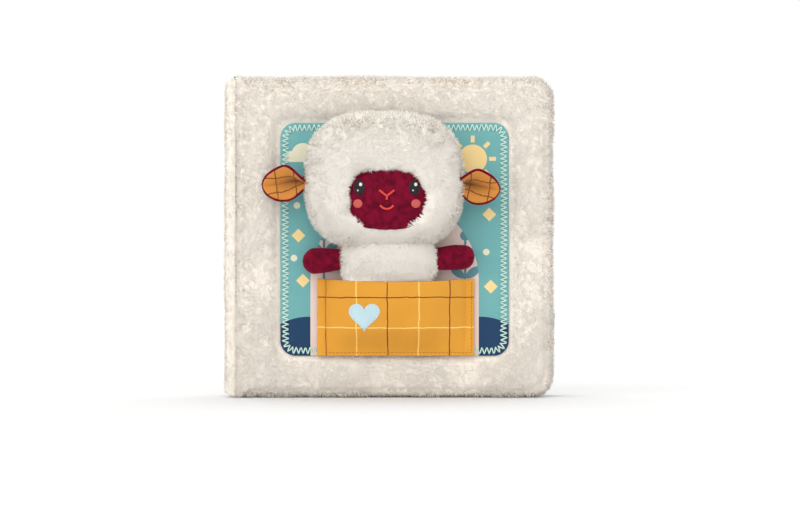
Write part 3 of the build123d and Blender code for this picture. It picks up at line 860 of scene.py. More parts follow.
def fleece_spine(settings):
    """The spine's fleece: the same rounded form on end, between the two folds."""
    low = spine_low / MM
    high = spine_high / MM
    path = rounded_path(low[[1, 2]], high[[1, 2]], 3.0, 3.0, 60, 5)
    middle = (low[[1, 2]] + high[[1, 2]]) / 2
    inner = rounded_path(middle - (0.5, 80), middle + (0.5, 80), 0.3, 0.3, 60, 5)
    span = 25.9
    near = ease(1 - (path[:, 0] - low[1]) / 2.0) + ease(1 - (high[1] - path[:, 0]) / 2.0)
    inset = settings.inset / MM
    edge = inset * (1 - 0.75 * near)
    radius = 4.6
    seat = (high[0] + 0.05) * np.ones_like(near)
    fold = (cover_low[0] / MM - 0.25) * np.ones_like(near)
    rows = [
        (edge + 6.0, seat - 0.15),
        (edge + 4.9, seat - 0.1),
        (edge + 4.7, fold),
        (edge + 0.8, fold),
        (edge, fold - 0.8),
    ]
    for turn in np.linspace(0, np.pi / 2, 7):
        deep = low[0] + inset + radius * (1 - np.sin(turn)) * np.ones_like(near)
        rows.append((edge + radius * (1 - np.cos(turn)), deep))
    for share in np.linspace(0, 1, 8)[1:]:
        deep = (low[0] + inset - 0.8 * share) * np.ones_like(near)
        rows.append((edge + radius + (span - edge - radius) * share, deep))
    inward = np.stack([row[0] for row in rows])
    depth = np.stack([row[1] for row in rows])
    share = (inward / span)[..., None]
    plan = path[None] * (1 - share) + inner[None] * share
    points = np.stack([depth, plan[..., 0], plan[..., 1]], axis=-1)
    spread = np.where(near[None, :] > 0.5, 5.0, 0.8) * np.ones(points.shape[:2])
    spread[:4] = 0.0
    reach = np.ones(points.shape[:2])
    reach[:4] = 0.3
    lean = np.zeros_like(points)
    lean[..., 2] = -0.35
    lean[..., 0] = near[None, :] * ease((points[..., 0] - low[0] - 3) / 3)
    surface, depth, facing = pile_on(
        points, spread, reach, lean, SPINE_LOCKS, settings, FLEECE_CLUMP, 300, 0.8
    )
    place = surface[0]
    for side in (-1.0, 1.0):
        beside_fold = ease((place[:, 0] - low[0] - 1.5) / 2.5) * ease((side * place[:, 1] - high[1] + 6) / 3)
        facing = level_at_fold(facing, 0.6 * beside_fold, side)
    surface[0][:, 2] = np.maximum(surface[0][:, 2], FLOOR_GAP)
    piece = new_piece(
        "spine_teddy_fleece",
        surface,
        bpy.data.materials["cover_fleece_cloth"],
        "spine",
        ("spine_fleece",),
        depth,
        facing=facing,
    )


class BOOK_OT_fleece(bpy.types.Operator):
    """Makes the fleece of the front cover, the spine and the back cover"""

    bl_idname = "cloth_book.fleece"
    bl_label = "Cover Fleece"

    def execute(self, context):
        settings = context.scene.book_fleece
        pile_material("cover_fleece", settings.tip, settings.root, 1)
        front = ("front_teddy_fleece", "front_cover", "front_cover_fleece", True, settings.locks, 2, False)
        fewer = settings.locks - BACK_FEWER_LOCKS
        back = ("back_teddy_fleece", "back_cover", "back_cover_fleece", False, fewer, 1, True)
        for cover in (front, back):
            fleece_cover(settings, *cover)
        fleece_spine(settings)
        return {"FINISHED"}


# Linings


def lining_grid(outer, count, span, depth, thickness, puff):
    """A lining as rows from the middle of its back, round its edge, to the middle of its face."""
    middle = outer.mean(axis=0)
    inner = middle + (outer - middle) * 0.04
    rows = [(span * 0.5, depth + thickness), (0.0, depth + thickness), (0.0, depth + 0.25)]
    for share in np.linspace(0, 1, count):
        inward = 0.5 + (span - 0.5) * share**1.6
        seam = 0.45 * np.exp(-(((inward - 5.0) / 1.1) ** 2))
        rows.append((inward, depth - puff * ease(inward / 9) + seam))
    inward = np.array([row[0] for row in rows])
    share = (inward / span)[:, None, None]
    plan = outer[None] * (1 - share) + inner[None] * share
    depths = np.broadcast_to(np.array([row[1] for row in rows])[:, None], plan.shape[:2]).copy()
    return np.stack([plan[..., 0], depths, plan[..., 1]], axis=-1), inward


def dress_solid(node, material):
    """Gives a CAD node that stays a material in place of its plain one."""
    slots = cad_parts[node].data.materials
    slots.clear()
    slots.append(material)


class BOOK_OT_linings(bpy.types.Operator):
    """Makes the cotton linings inside the covers, with their topstitching"""

    bl_idname = "cloth_book.linings"
    bl_label = "Linings"

    def execute(self, context):
        settings = context.scene.book_lining
        cloth = cotton_material("cover_lining", plain_colour(settings.cloth), bump=0.3)
        thread = thread_material("lining_thread", settings.thread)
        dress_solid("spine_lining", cloth)
        wadding, shader, soft = new_material("wadding")
        place = wadding.object_place()
        fibre = wadding.noise(place, 0.6, 4.0)
        shade = wadding.mix(fibre, opaque(tone(228, 226, 220)), opaque(tone(246, 245, 242)))
        wadding.feed(shader.inputs["Base Color"], shade)
        shader.inputs["Roughness"].default_value = 0.95
        for side, body in ((-1, "front_cover"), (1, "back_cover")):
            dress_solid(body + "_wadding", soft)
            low, high = node_box(body + "_lining")
            outer = rounded_path(low[[0, 2]] / MM + 0.2, high[[0, 2]] / MM - 0.2, 1.5, 8.0, 60, 8)
            inner_face = 14.7
            points, inward = lining_grid(outer, 12, 96.0, inner_face, 0.8, settings.puff / MM)
            wave = soft_noise(points * [1, 0, 1], 9.0, 5) * 0.3 * np.exp(-(((inward[:, None] - 5) / 5) ** 2))
            points[3:, :, 1] += wave[3:]
            if side < 0:
                points[..., 1] *= -1
            piece = new_piece(
                body + "_inside_cotton",
                closed_shell(points),
                cloth,
                body,
                (body + "_lining",),
            )
            run = rounded_path(low[[0, 2]] / MM + 5.2, high[[0, 2]] / MM - 5.2, 1.5, 5.0, 46, 3)
            after = np.roll(run, -1, axis=0)
            ends = run + (after - run) * 0.62
            level = np.full(len(run), side * (inner_face + 0.05))
            stitches = dashes(
                np.stack([run[:, 0], level, run[:, 1]], axis=1),
                np.stack([ends[:, 0], level, ends[:, 1]], axis=1),
                0.25 * side,
                0.3,
            )
            new_piece(body + "_lining_stitches", stitches, thread, body)
        return {"FINISHED"}


# Pages


def page_grid(outer, middle_depth, half_thickness, settings):
    """A padded leaf as rows from the middle of its front, over its bound edge, to its back's middle.

    Its thickness swells from the edge by one minus a falling exponential, dips where the hem is
    sewn, and is pinched towards the gutter.
    """
    span = 92.0
    middle = outer.mean(axis=0)
    inner = middle + (outer - middle) * 0.06
    hem = settings.hem / MM
    edge = [8.5, 6.6, 5.4, 4.6, 4.0, 3.2, 2.0, 1.0, 0.35, 0.0]
    inward = np.concatenate([span * np.linspace(1, 0.14, 9) ** 1.5, edge])
    swell = 1.3 + (half_thickness - 1.3) * (1 - np.exp(-inward / 4.5))
    swell -= 0.9 * np.exp(-(((inward - hem - 0.6) / 0.9) ** 2))
    swell[-1] = 0.35
    swell[-2] = 0.95
    share = (inward / span)[:, None, None]
    plan = outer[None] * (1 - share) + inner[None] * share
    pinch = 0.42 + 0.58 * ease((plan[..., 0] - outer[:, 0].min()) / 17)
    rise = swell[:, None] * pinch
    front = np.stack([plan[..., 0], middle_depth - rise, plan[..., 1]], axis=-1)
    back = np.stack([plan[..., 0], middle_depth + rise, plan[..., 1]], axis=-1)
    points = np.concatenate([front, back[::-1]])
    hem_mask = np.concatenate([inward < hem, (inward < hem)[::-1]]).astype(float)
    return points, np.broadcast_to(hem_mask[:, None], points.shape[:2])


def page_colours(settings, cloth, pattern):
    """Cloth with a plain repeated pattern of dots or stripes, and the binding round the edge."""

    def colour_of(desk, place):
        parts = desk.split(place)
        pale = tuple(0.45 + 0.55 * value for value in cloth)
        if pattern == "dots":
            cells = []
            for axis in ("X", "Z"):
                along = desk.sum("ADD", parts[axis], 400.0)
                cells.append(desk.sum("SUBTRACT", desk.sum("MODULO", along, 16.0), 8.0))
            reach = desk.sum("ADD", desk.sum("POWER", cells[0], 2.0), desk.sum("POWER", cells[1], 2.0))
            mark = desk.sum("LESS_THAN", reach, 5.5)
        else:
            band = desk.sum("MODULO", desk.sum("ADD", parts["Z"], 400.0), 14.0)
            mark = desk.sum("LESS_THAN", band, 4.0)
        printed = desk.mix(mark, opaque(cloth), opaque(pale))
        hem = desk.add("ShaderNodeAttribute", attribute_name="pile_depth").outputs["Fac"]
        edge = desk.sum("GREATER_THAN", hem, 0.5)
        return desk.mix(edge, printed, opaque(settings.binding))

    return colour_of


class BOOK_OT_pages(bpy.types.Operator):
    """Makes the padded leaves with their bound edges"""

    bl_idname = "cloth_book.pages"
    bl_label = "Pages"

    def execute(self, context):
        settings = context.scene.book_pages
        low = pages_low / MM
        high = pages_high / MM
        outer = rounded_path(low[[0, 2]], high[[0, 2]], 1.0, 9.0, 56, 7)
        thickness = 9.0
        pitch = 9.8
        looks = (
            ("first", settings.first, "dots"),
            ("second", settings.second, "stripes"),
            ("third", settings.third, "dots"),
        )
        for number, (label, cloth, pattern) in enumerate(looks):
            points, hem = page_grid(outer, (number - 1) * pitch, thickness / 2, settings)
            points[..., 2] = np.maximum(points[..., 2], low[2])
            material = cotton_material("page_" + label, page_colours(settings, cloth, pattern), bump=0.3)
            shell = closed_shell(points)
            depth = np.concatenate([hem.ravel(), [0.0, 0.0]])
            piece = new_piece("leaf_" + label, shell, material, "spine", ("page_block",), depth)
        gutter = rounded_path((low[0], low[2] + 1), (low[0] + 5.0, high[2] - 1), 0.6, 0.6, 30, 2)
        strip = []
        for depth, grow in ((-11.6, 0.8), (-11.6, 1.0), (11.6, 1.0), (11.6, 0.8)):
            ring = gutter.mean(axis=0) + (gutter - gutter.mean(axis=0)) * grow
            strip.append(np.stack([ring[:, 0], np.full(len(ring), depth), ring[:, 1]], axis=1))
        new_piece(
            "gutter_strip",
            closed_shell(np.array(strip)),
            cotton_material("gutter_cotton", plain_colour(settings.binding), bump=0.3),
            "spine",
            ("page_block",),
        )
        return {"FINISHED"}


# Sewn panel

PANEL_CORNER = 10.0
STITCH_INSET = 3.4
STITCH_PITCH = 3.1
STITCH_REACH = 2.3
ARCH_MIDDLE, ARCH_HALF, ARCH_TOP = 4.0, 56.0, 134.0
HILL_TOP, HILL_SAG, HILL_COUNT = 54.0, 5.0, 4
SUN_PLACE, SUN_RADIUS = (56.0, 159.0), 9.5
SUN_RAY_FROM, SUN_RAY_TO, SUN_RAY_WIDTH = 10.9, 15.5, 2.6
CLOUD_PLACE, CLOUD_RADIUS = (-57.0, 162.0), 7.5
DIAMONDS = ((-60.0, 108.0), (-57.0, 78.0), (67.0, 122.0), (68.0, 74.0))
DOTS = ((-36.0, 175.0), (-61.0, 128.0), (68.0, 139.0), (-63.0, 93.0), (65.0, 97.0))
SPRIGS = ((51.0, 70.0, 38.0), (-43.0, 78.0, 30.0))
LEAF_LENGTH, LEAF_WIDTH, LEAF_TURN = 13.0, 5.6, 38.0


def panel_print(settings):
    """The panel's print: fields of one colour laid over each other, each a sum of simple masks."""

    def colour_of(desk, place):
        parts = desk.split(place)
        flat = desk.add("ShaderNodeCombineXYZ")
        desk.feed(flat.inputs["X"], parts["X"])
        desk.feed(flat.inputs["Z"], parts["Z"])
        across, upward, plane = parts["X"], parts["Z"], flat.outputs[0]

        def disc(x, z, radius):
            made = desk.group(GROUPS["disc"], place=plane, centre=(x, 0.0, z), radius=radius)
            return made.outputs[0]

        def band(value, middle, width):
            made = desk.group(GROUPS["line"], value=value, middle=middle, width=width)
            return made.outputs[0]

        def both(*masks):
            total = masks[0]
            for mask in masks[1:]:
                total = desk.sum("MULTIPLY", total, mask)
            return total

        def either(*masks):
            total = masks[0]
            for mask in masks[1:]:
                total = desk.sum("MAXIMUM", total, mask)
            return total

        foot = both(
            band(across, ARCH_MIDDLE, 2 * ARCH_HALF), desk.sum("LESS_THAN", upward, ARCH_TOP - ARCH_HALF)
        )
        arch = either(foot, disc(ARCH_MIDDLE, ARCH_TOP - ARCH_HALF, ARCH_HALF))

        step = (panel_high[0] - panel_low[0]) / MM / HILL_COUNT
        radius = (step * step / 4 + HILL_SAG * HILL_SAG) / (2 * HILL_SAG)
        along = desk.sum("ADD", across, 10 * step - panel_low[0] / MM)
        cell = desk.sum("SUBTRACT", desk.sum("MODULO", along, step), step / 2)
        crown = desk.sum("SQRT", desk.sum("SUBTRACT", radius * radius, desk.sum("POWER", cell, 2.0)))
        hills = desk.sum("LESS_THAN", upward, desk.sum("ADD", crown, HILL_TOP - radius))

        x, z = SUN_PLACE
        right = desk.sum("SUBTRACT", across, x)
        up = desk.sum("SUBTRACT", upward, z)
        turn = desk.sum("ARCTAN2", up, right)
        slice_turn = np.pi / 4
        folded = desk.sum("MODULO", desk.sum("ADD", turn, 8 * slice_turn + slice_turn / 2), slice_turn)
        folded = desk.sum("SUBTRACT", folded, slice_turn / 2)
        reach = desk.vector("DISTANCE", plane, (x, 0.0, z))
        outward_part = desk.sum("MULTIPLY", reach, desk.sum("COSINE", folded))
        side_part = desk.sum("MULTIPLY", reach, desk.sum("SINE", folded))
        rays = both(
            band(side_part, 0.0, SUN_RAY_WIDTH),
            band(outward_part, (SUN_RAY_FROM + SUN_RAY_TO) / 2, SUN_RAY_TO - SUN_RAY_FROM),
        )
        marks = [disc(x, z, SUN_RADIUS), rays]
        for x, z in DIAMONDS:
            gap = desk.sum(
                "ADD",
                desk.sum("ABSOLUTE", desk.sum("SUBTRACT", across, x)),
                desk.sum("ABSOLUTE", desk.sum("SUBTRACT", upward, z)),
            )
            marks.append(desk.sum("LESS_THAN", gap, 4.6))
        sun = either(*marks)

        x, z = CLOUD_PLACE
        side = CLOUD_RADIUS * 0.65
        drop = CLOUD_RADIUS - side
        puffs = either(
            disc(x, z, CLOUD_RADIUS),
            disc(x - CLOUD_RADIUS, z - drop, side),
            disc(x + CLOUD_RADIUS, z - drop, side),
        )
        cloud = both(puffs, desk.sum("GREATER_THAN", upward, z - drop - side / 2))
        cloud = either(cloud, *[disc(x, z, 2.2) for x, z in DOTS])

        sprigs = []
        bow = (LEAF_LENGTH * LEAF_LENGTH + LEAF_WIDTH * LEAF_WIDTH) / (4 * LEAF_WIDTH)
        offset = bow - LEAF_WIDTH / 2
        for x, z, height in SPRIGS:
            sprigs.append(both(band(across, x, 1.6), band(upward, z + height / 2, height)))
            sprigs.append(disc(x, z + height, 3.4))
            for rise in (0.25, 0.6):
                for degrees in (LEAF_TURN, 180 - LEAF_TURN):
                    lean = np.radians(degrees)
                    ahead = np.array([np.cos(lean), np.sin(lean)])
                    beside = np.array([-ahead[1], ahead[0]])
                    middle = np.array([x, z + height * rise]) + ahead * LEAF_LENGTH / 2
                    one = middle + beside * offset
                    two = middle - beside * offset
                    sprigs.append(both(disc(one[0], one[1], bow), disc(two[0], two[1], bow)))
        sprig = both(either(*sprigs), arch)

        colour = desk.mix(hills, opaque(settings.sky), opaque(settings.hills))
        colour = desk.mix(arch, colour, opaque(settings.arch))
        colour = desk.mix(sun, colour, opaque(settings.sun))
        colour = desk.mix(cloud, colour, opaque(settings.cloud))
        return desk.mix(sprig, colour, opaque(settings.leaf))

    return colour_of


def panel_grid(settings):
    """The panel's cloth as rows from the middle of its back, round its turned edge, to its middle.

    Small waves run along the seam: a cosine of the way round, fading inward.
    """
    low = panel_low[[0, 2]] / MM
    high = panel_high[[0, 2]] / MM
    outer = rounded_path(low, high, PANEL_CORNER, PANEL_CORNER, 110, 14)
    middle = outer.mean(axis=0)
    inner = middle + (outer - middle) * 0.04
    span = 73.0
    face = panel_low[1] / MM
    edge = [30.0, 1.5, 0.0, 0.0, 0.5, 1.4, 2.4, 3.4, 4.4, 5.6]
    inward = np.array(edge + [7.0, 9.0, 12.0, 17.0, 25.0, 36.0, 50.0, 66.0])
    depth = np.zeros(len(inward))
    depth[: len(edge)] = [0.9, 0.9, 0.8, 0.55, 0.2, 0.1, 0.22, 0.3, 0.2, 0.05]
    share = (inward / span)[:, None, None]
    plan = outer[None] * (1 - share) + inner[None] * share
    way = np.cumsum(np.linalg.norm(outer - np.roll(outer, 1, axis=0), axis=1))
    wave = np.cos(way / 9.3 * 2 * np.pi + 1.7 * np.sin(way / 40)) * settings.pucker / MM
    fade = np.exp(-(((inward - 3.4) / 3.6) ** 2))
    fade[:4] = 0
    level = face + np.broadcast_to(depth[:, None], plan.shape[:2])
    points = np.stack([plan[..., 0], level, plan[..., 1]], axis=-1)
    points[..., 1] += fade[:, None] * wave[None, :]
    slack = soft_noise(points * [1, 0, 1], 26.0, 11) * 0.3 * ease((inward[:, None] - 4) / 14)
    points[4:, :, 1] -= np.abs(slack[4:])
    return points


def seam_place(way, reach):
    """A point that far along the seam's line round the panel, and reach outside it."""
    radius = PANEL_CORNER - STITCH_INSET
    low = panel_low[[0, 2]] / MM + PANEL_CORNER
    high = panel_high[[0, 2]] / MM - PANEL_CORNER
    wide, tall = high - low
    arc = radius * np.pi / 2
    corners = ((low[0], high[1]), (high[0], high[1]), (high[0], low[1]), (low[0], low[1]))
    ahead = ((1, 0), (0, -1), (-1, 0), (0, 1))
    place = np.zeros((len(way), 2))
    left = way.copy()
    for number, length in enumerate((wide, tall, wide, tall)):
        along = np.array(ahead[number], float)
        out = np.array([-along[1], along[0]])
        start = np.array(corners[number])
        straight = (left >= 0) & (left < length)
        place[straight] = start + left[straight, None] * along + (radius + reach[straight, None]) * out
        turn = (left - length) / radius
        bent = (left >= length) & (left < length + arc)
        spoke = np.cos(turn[bent])[:, None] * out + np.sin(turn[bent])[:, None] * along
        place[bent] = start + length * along + (radius + reach[bent, None]) * spoke
        left = np.where(left >= 0, left - length - arc, left)
    return place


def zigzag_thread(settings):
    """The zigzag: a thread that swings to and fro across the seam and dips at each needle hole."""
    low = panel_low[[0, 2]] / MM
    high = panel_high[[0, 2]] / MM
    radius = PANEL_CORNER - STITCH_INSET
    around = 2 * ((high - low).sum() - 4 * PANEL_CORNER) + 2 * np.pi * radius
    count = 2 * int(round(around / STITCH_PITCH))
    fine = 6
    number = np.arange(count * fine)
    phase = number / fine
    swing = np.abs((phase % 2) - 1) * 2 - 1
    rng = np.random.default_rng(8)
    uneven = np.repeat(rng.normal(0, 0.12, count), fine)
    way = (phase + uneven * 0.6) / count * around
    place = seam_place(np.mod(way, around * 0.99999), swing * STITCH_REACH + uneven)
    rise = np.sin((phase % 1) * np.pi) ** 0.6
    depth = panel_low[1] / MM + 0.45 - 0.85 * rise
    path = np.stack([place[:, 0], depth, place[:, 1]], axis=1)
    half = settings.thread_width / MM / 2
    return tube(path, (half, half * 0.8), 6, True, np.array([0.0, -1.0, 0.0]))


class BOOK_OT_panel(bpy.types.Operator):
    """Makes the sewn panel and its zigzag seam"""

    bl_idname = "cloth_book.panel"
    bl_label = "Sewn Panel"

    def execute(self, context):
        settings = context.scene.book_panel
        printed = cotton_material("panel_cotton", panel_print(settings), bump=0.25)
        piece = new_piece(
            "sewn_panel",
            closed_shell(panel_grid(settings)),
            printed,
            "front_cover",
            (
                "front_panel",
                "panel_print_pink_arch",
                "panel_print_navy_hills",
                "panel_print_yellow_sun",
                "panel_print_cream_cloud",
                "panel_print_sprigs",
            ),
        )
        new_piece(
            "zigzag_seam",
            zigzag_thread(settings),
            thread_material("zigzag_thread", settings.thread, 0.5, "Z"),
            "front_cover",
            ("panel_zigzag_stitch",),
        )
        return {"FINISHED"}


# Pocket

POCKET_MIDDLE, POCKET_HALF, POCKET_BOW = 4.8, 52.0, 47.0
POCKET_FOOT, POCKET_TALL, POCKET_SAG = 28.0, 51.5, 2.4
CHECK_FIRST, CHECK_STEP, CHECK_ROWS = -46.4, 20.5, (19.0, 39.0)
HEART_PLACE = (-16.0, 55.0)


def pocket_front(across, rise):
    """Depth of the pocket's face: a bow across that grows upward, with soft folds.

    across is the distance from the pocket's middle and rise the height above its foot.
    """
    share = rise / POCKET_TALL
    low = ease(share / 0.4)
    bulge = 0.5 + 11.5 * low + 5.6 * ease((share - 0.25) / 0.75)
    bow = np.clip(1 - (across / POCKET_BOW) ** 2, 0, 1)
    back = panel_low[1] / MM - 1.0
    side = np.exp(-((np.abs(across) - POCKET_BOW + 1.0) / 1.3) ** 2)
    folds = 0.5 * np.sin(across / 5.2 + 2.0) * np.exp(-rise / 9.0) * bow
    folds = folds + 0.35 * np.sin(rise / 4.6) * np.exp(-((np.abs(across) - POCKET_BOW) / 7.0) ** 2) * bow
    place = np.stack([across, rise, np.zeros_like(across)], axis=-1)
    crumple = soft_noise(place, 15.0, 71) * 0.9 * bow * ease(share / 0.2)
    return back - 1.4 - bulge * bow**0.85 + 0.5 * side + folds + crumple


def pocket_top_at(across):
    """Height of the pocket's upper edge: it sags to the middle along a parabola."""
    return POCKET_TALL - POCKET_SAG * (1 - (across / POCKET_HALF) ** 2)


def pocket_grid():
    """The pocket's cloth, across and upward; the fold along its left side stands proud."""
    across = np.linspace(-POCKET_HALF, POCKET_HALF, 141)[None, :]
    share = np.linspace(0, 1, 61)[:, None]
    rise = share * pocket_top_at(across)
    across = np.broadcast_to(across, rise.shape)
    depth = pocket_front(across, rise)
    fold = (across + POCKET_HALF) / 5.6
    depth = depth - 0.5 * ease((1 - fold) / 0.2) + 0.5 * np.exp(-(((fold - 1.08) / 0.12) ** 2))
    ragged = 0.35 * soft_noise(np.stack([across, rise, across], axis=-1), 9.0, 33)
    points = np.stack([POCKET_MIDDLE + across + ragged * share, depth, POCKET_FOOT + rise], axis=-1)
    plan = np.stack([across, rise + 0 * across], axis=-1)
    return points, plan


def pocket_print(settings):
    """A windowpane check: plum lines and pale lines in turn, on the cloth's own plan."""

    def colour_of(desk, place):
        parts = desk.split(place)
        wander = desk.noise(place, 0.12, 2.0)
        drift = desk.sum("MULTIPLY_ADD", wander, 1.6, -0.8)
        across = desk.sum("ADD", parts["X"], drift)
        upward = desk.sum("ADD", parts["Z"], drift)

        def line(value, middle):
            made = desk.group(GROUPS["line"], value=value, middle=middle, width=settings.line_width / MM)
            return made.outputs[0]

        columns = [line(across, CHECK_FIRST + CHECK_STEP * number) for number in range(5)]
        rows = [line(upward, rise) for rise in CHECK_ROWS]
        plum = rows[1]
        for number in (0, 2, 4):
            plum = desk.sum("MAXIMUM", plum, columns[number])
        pale = desk.sum("MAXIMUM", desk.sum("MAXIMUM", columns[1], columns[3]), rows[0])
        colour = desk.mix(pale, opaque(settings.cloth), opaque(settings.pale))
        return desk.mix(plum, colour, opaque(settings.plum))

    return colour_of


def on_pocket(place, lift):
    """Points on the pocket's face from their places in the picture plane, lifted off it."""
    depth = pocket_front(place[:, 0] - POCKET_MIDDLE, place[:, 1] - POCKET_FOOT) - lift
    return np.stack([place[:, 0], depth, place[:, 1]], axis=1)


def heart_surface():
    """The heart patch on the pocket: rings of a heart outline, shrunk to its middle, softly domed."""
    turn = np.linspace(0, 2 * np.pi, 96, endpoint=False)
    x = 10.4 * np.sin(turn) ** 3
    z = 8.6 * np.cos(turn) - 3.3 * np.cos(2 * turn) - 1.2 * np.cos(3 * turn) - 0.6 * np.cos(4 * turn)
    outline = np.stack([x, z], axis=1)
    sizes = (0.02, 0.3, 0.6, 0.82, 0.88, 0.93, 0.98, 1.0, 1.0, 0.4)
    lifts = (0.65, 0.68, 0.66, 0.55, 0.4, 0.55, 0.5, 0.25, -0.6, -0.6)
    rows = [on_pocket(outline * size + HEART_PLACE, 0.65 + lift) for size, lift in zip(sizes, lifts)]
    inner = outline * 0.885 + HEART_PLACE
    return closed_shell(np.array(rows)), inner


class BOOK_OT_pocket(bpy.types.Operator):
    """Makes the pocket, its stitches and its patch"""

    bl_idname = "cloth_book.pocket"
    bl_label = "Pocket"

    def execute(self, context):
        settings = context.scene.book_pocket
        points, plan = pocket_grid()
        rows, columns = points.shape[:2]
        surface = (points.reshape(-1, 3), grid_quads(rows, columns, False)[:, ::-1], np.zeros((0, 3), int))
        cloth = cotton_material("pocket_cotton", pocket_print(settings), bump=0.3, uv=True)
        piece = new_piece(
            "pocket_cloth",
            surface,
            cloth,
            "front_cover",
            ("pocket", "pocket_check_plum", "pocket_check_pale"),
            plan=plan.reshape(-1, 2),
        )
        thicken(piece, settings.cloth_thickness, 0.0)
        lengths = np.linalg.norm(np.diff(points, axis=1), axis=-1).sum(axis=1).mean()
        heights = np.linalg.norm(np.diff(points, axis=0), axis=-1).sum(axis=0).mean()

        heart, run = heart_surface()
        new_piece(
            "heart_patch",
            heart,
            cotton_material("patch_cotton", plain_colour(settings.patch), bump=0.3),
            "front_cover",
            ("pocket_heart_patch",),
        )
        thread = thread_material("pocket_thread", settings.thread)
        pale = thread_material("patch_thread", tone(236, 240, 240))
        starts, ends = (on_pocket(place, 1.15) for place in (run[::3], np.roll(run, -2, axis=0)[::3]))
        new_piece("patch_stitches", dashes(starts, ends, 0.2, 0.28), pale, "front_cover")

        run_x = np.arange(-POCKET_HALF + 2, POCKET_HALF - 2, 2.6)
        foot = np.stack([run_x, np.full(len(run_x), 2.2)], axis=1)
        run_z = np.arange(3.0, POCKET_TALL - 2, 2.6)
        left = np.stack([np.full(len(run_z), -POCKET_HALF + 1.6), run_z], axis=1)
        right = np.stack([np.full(len(run_z), POCKET_HALF - 1.6), run_z], axis=1)
        starts = np.concatenate([foot, left, right])
        ends = np.concatenate([foot + (1.7, 0), left + (0, 1.7), right + (0, 1.7)])
        corner = (POCKET_MIDDLE, POCKET_FOOT)
        starts, ends = (on_pocket(place + corner, 0.7) for place in (starts, ends))
        new_piece("pocket_stitches", dashes(starts, ends, 0.2, 0.27), thread, "front_cover")
        return {"FINISHED"}


def thicken(piece, thickness, offset, levels=0):
    """Gives a single layer of cloth its thickness, and rounds it if levels is above 0."""
    solid = piece.modifiers.new("Cloth Thickness", "SOLIDIFY")
    solid.thickness = thickness
    solid.offset = offset
    if levels:
        smooth = piece.modifiers.new("Soft Edges", "SUBSURF")
        smooth.levels = levels
        smooth.render_levels = levels


# Lamb

HEAD_PLACE = np.array([-3.0, -42.4, 143.8])
HEAD_HALF = np.array([51.0, 26.0, 44.25])
HEAD_SQUARE = 2.8
HEAD_DEEP = 2.3
NECK = 103.0
FACE_PLACE = np.array([-1.0, 132.3])
FACE_HALF = np.array([27.0, 19.0])
FACE_BALL = 60.0
FACE_SQUARE = 2.7
# The ring of the head's grid that lies on its outline, and the locks on the body.
OUTLINE_ROW = 22
BODY_LOCKS = 12000


def in_head(x, z, half):
    """The head's squarish oval in the picture plane: 0 at its middle and 1 on its outline."""
    wide = np.abs((x - HEAD_PLACE[0]) / half[0]) ** HEAD_SQUARE
    return wide + np.abs((z - HEAD_PLACE[2]) / half[2]) ** HEAD_SQUARE


def head_depth(x, z, half):
    """How far the head stands off its middle plane: rounded in depth, and thinner at the chin."""
    chin = 1 - 0.2 * ease((120 - z) / 18)
    return half[1] * chin * np.clip(1 - in_head(x, z, half), 0, 1) ** (1 / HEAD_DEEP)


def face_opening(turn, grow):
    """Distance from the face's middle to the wool's rim in each direction, along a squarish oval."""
    wide = np.abs(np.cos(turn)) / (FACE_HALF[0] + grow)
    tall = np.abs(np.sin(turn)) / (FACE_HALF[1] + grow)
    return (wide**FACE_SQUARE + tall**FACE_SQUARE) ** (-1 / FACE_SQUARE)


def head_reach(turn, half):
    """Distance from the face's middle to the head's outline in each direction, found by halving."""
    low, high = np.full_like(turn, 5.0), np.full_like(turn, 110.0)
    for _ in range(40):
        middle = (low + high) / 2
        x = FACE_PLACE[0] + middle * np.cos(turn)
        z = FACE_PLACE[1] + middle * np.sin(turn)
        outside = (in_head(x, z, half) > 1) | (z < NECK + 1.0)
        low, high = np.where(outside, low, middle), np.where(outside, middle, high)
    return low


def face_front(x, z):
    """Depth of the face's ball at a place of the picture plane."""
    front = HEAD_PLACE[1] - HEAD_HALF[1] + 3.0
    flat = (x - FACE_PLACE[0]) ** 2 + (z - FACE_PLACE[1]) ** 2
    return front + FACE_BALL - np.sqrt(np.maximum(FACE_BALL**2 - flat, 1.0))


def head_grid(inset):
    """The wool head as rings about the face's middle: lip, front, outline, and back to its middle."""
    half = HEAD_HALF - inset
    columns = 168
    turn = np.linspace(0, 2 * np.pi, columns, endpoint=False)
    lip = face_opening(turn, 0.2) * (1 + 0.03 * np.sin(5 * turn + 2.1) + 0.02 * np.sin(11 * turn + 0.6))
    reach = head_reach(turn, half)
    rows, kinds = [], []

    def ring(distance, depth, kind):
        x = FACE_PLACE[0] + distance * np.cos(turn)
        z = FACE_PLACE[1] + distance * np.sin(turn)
        rows.append(np.stack([x, np.broadcast_to(depth, x.shape), z], axis=1))
        kinds.append(kind)

    def front_at(distance):
        x = FACE_PLACE[0] + distance * np.cos(turn)
        z = FACE_PLACE[1] + distance * np.sin(turn)
        drop = 3.2 * np.exp(-(distance - lip) / 3.2)
        return HEAD_PLACE[1] - head_depth(x, z, half) + drop

    ring(lip - 1.0, HEAD_PLACE[1] - 12.0, 0.0)
    ring(lip - 0.6, HEAD_PLACE[1] - 15.5, 0.4)
    for share in np.linspace(0, 1, 21):
        distance = lip + (reach - lip) * np.sin(share * np.pi / 2)
        ring(distance, front_at(distance), 1.0)
    for share in np.linspace(1, 0.08, 12)[1:]:
        distance = reach * np.sin(share * np.pi / 2)
        x = FACE_PLACE[0] + distance * np.cos(turn)
        z = FACE_PLACE[1] + distance * np.sin(turn)
        behind = np.minimum(HEAD_PLACE[1] + head_depth(x, z, half), -27.2)
        ring(distance, behind, 0.35 if share > 0.6 else 0.0)
    return np.array(rows), np.array(kinds), turn


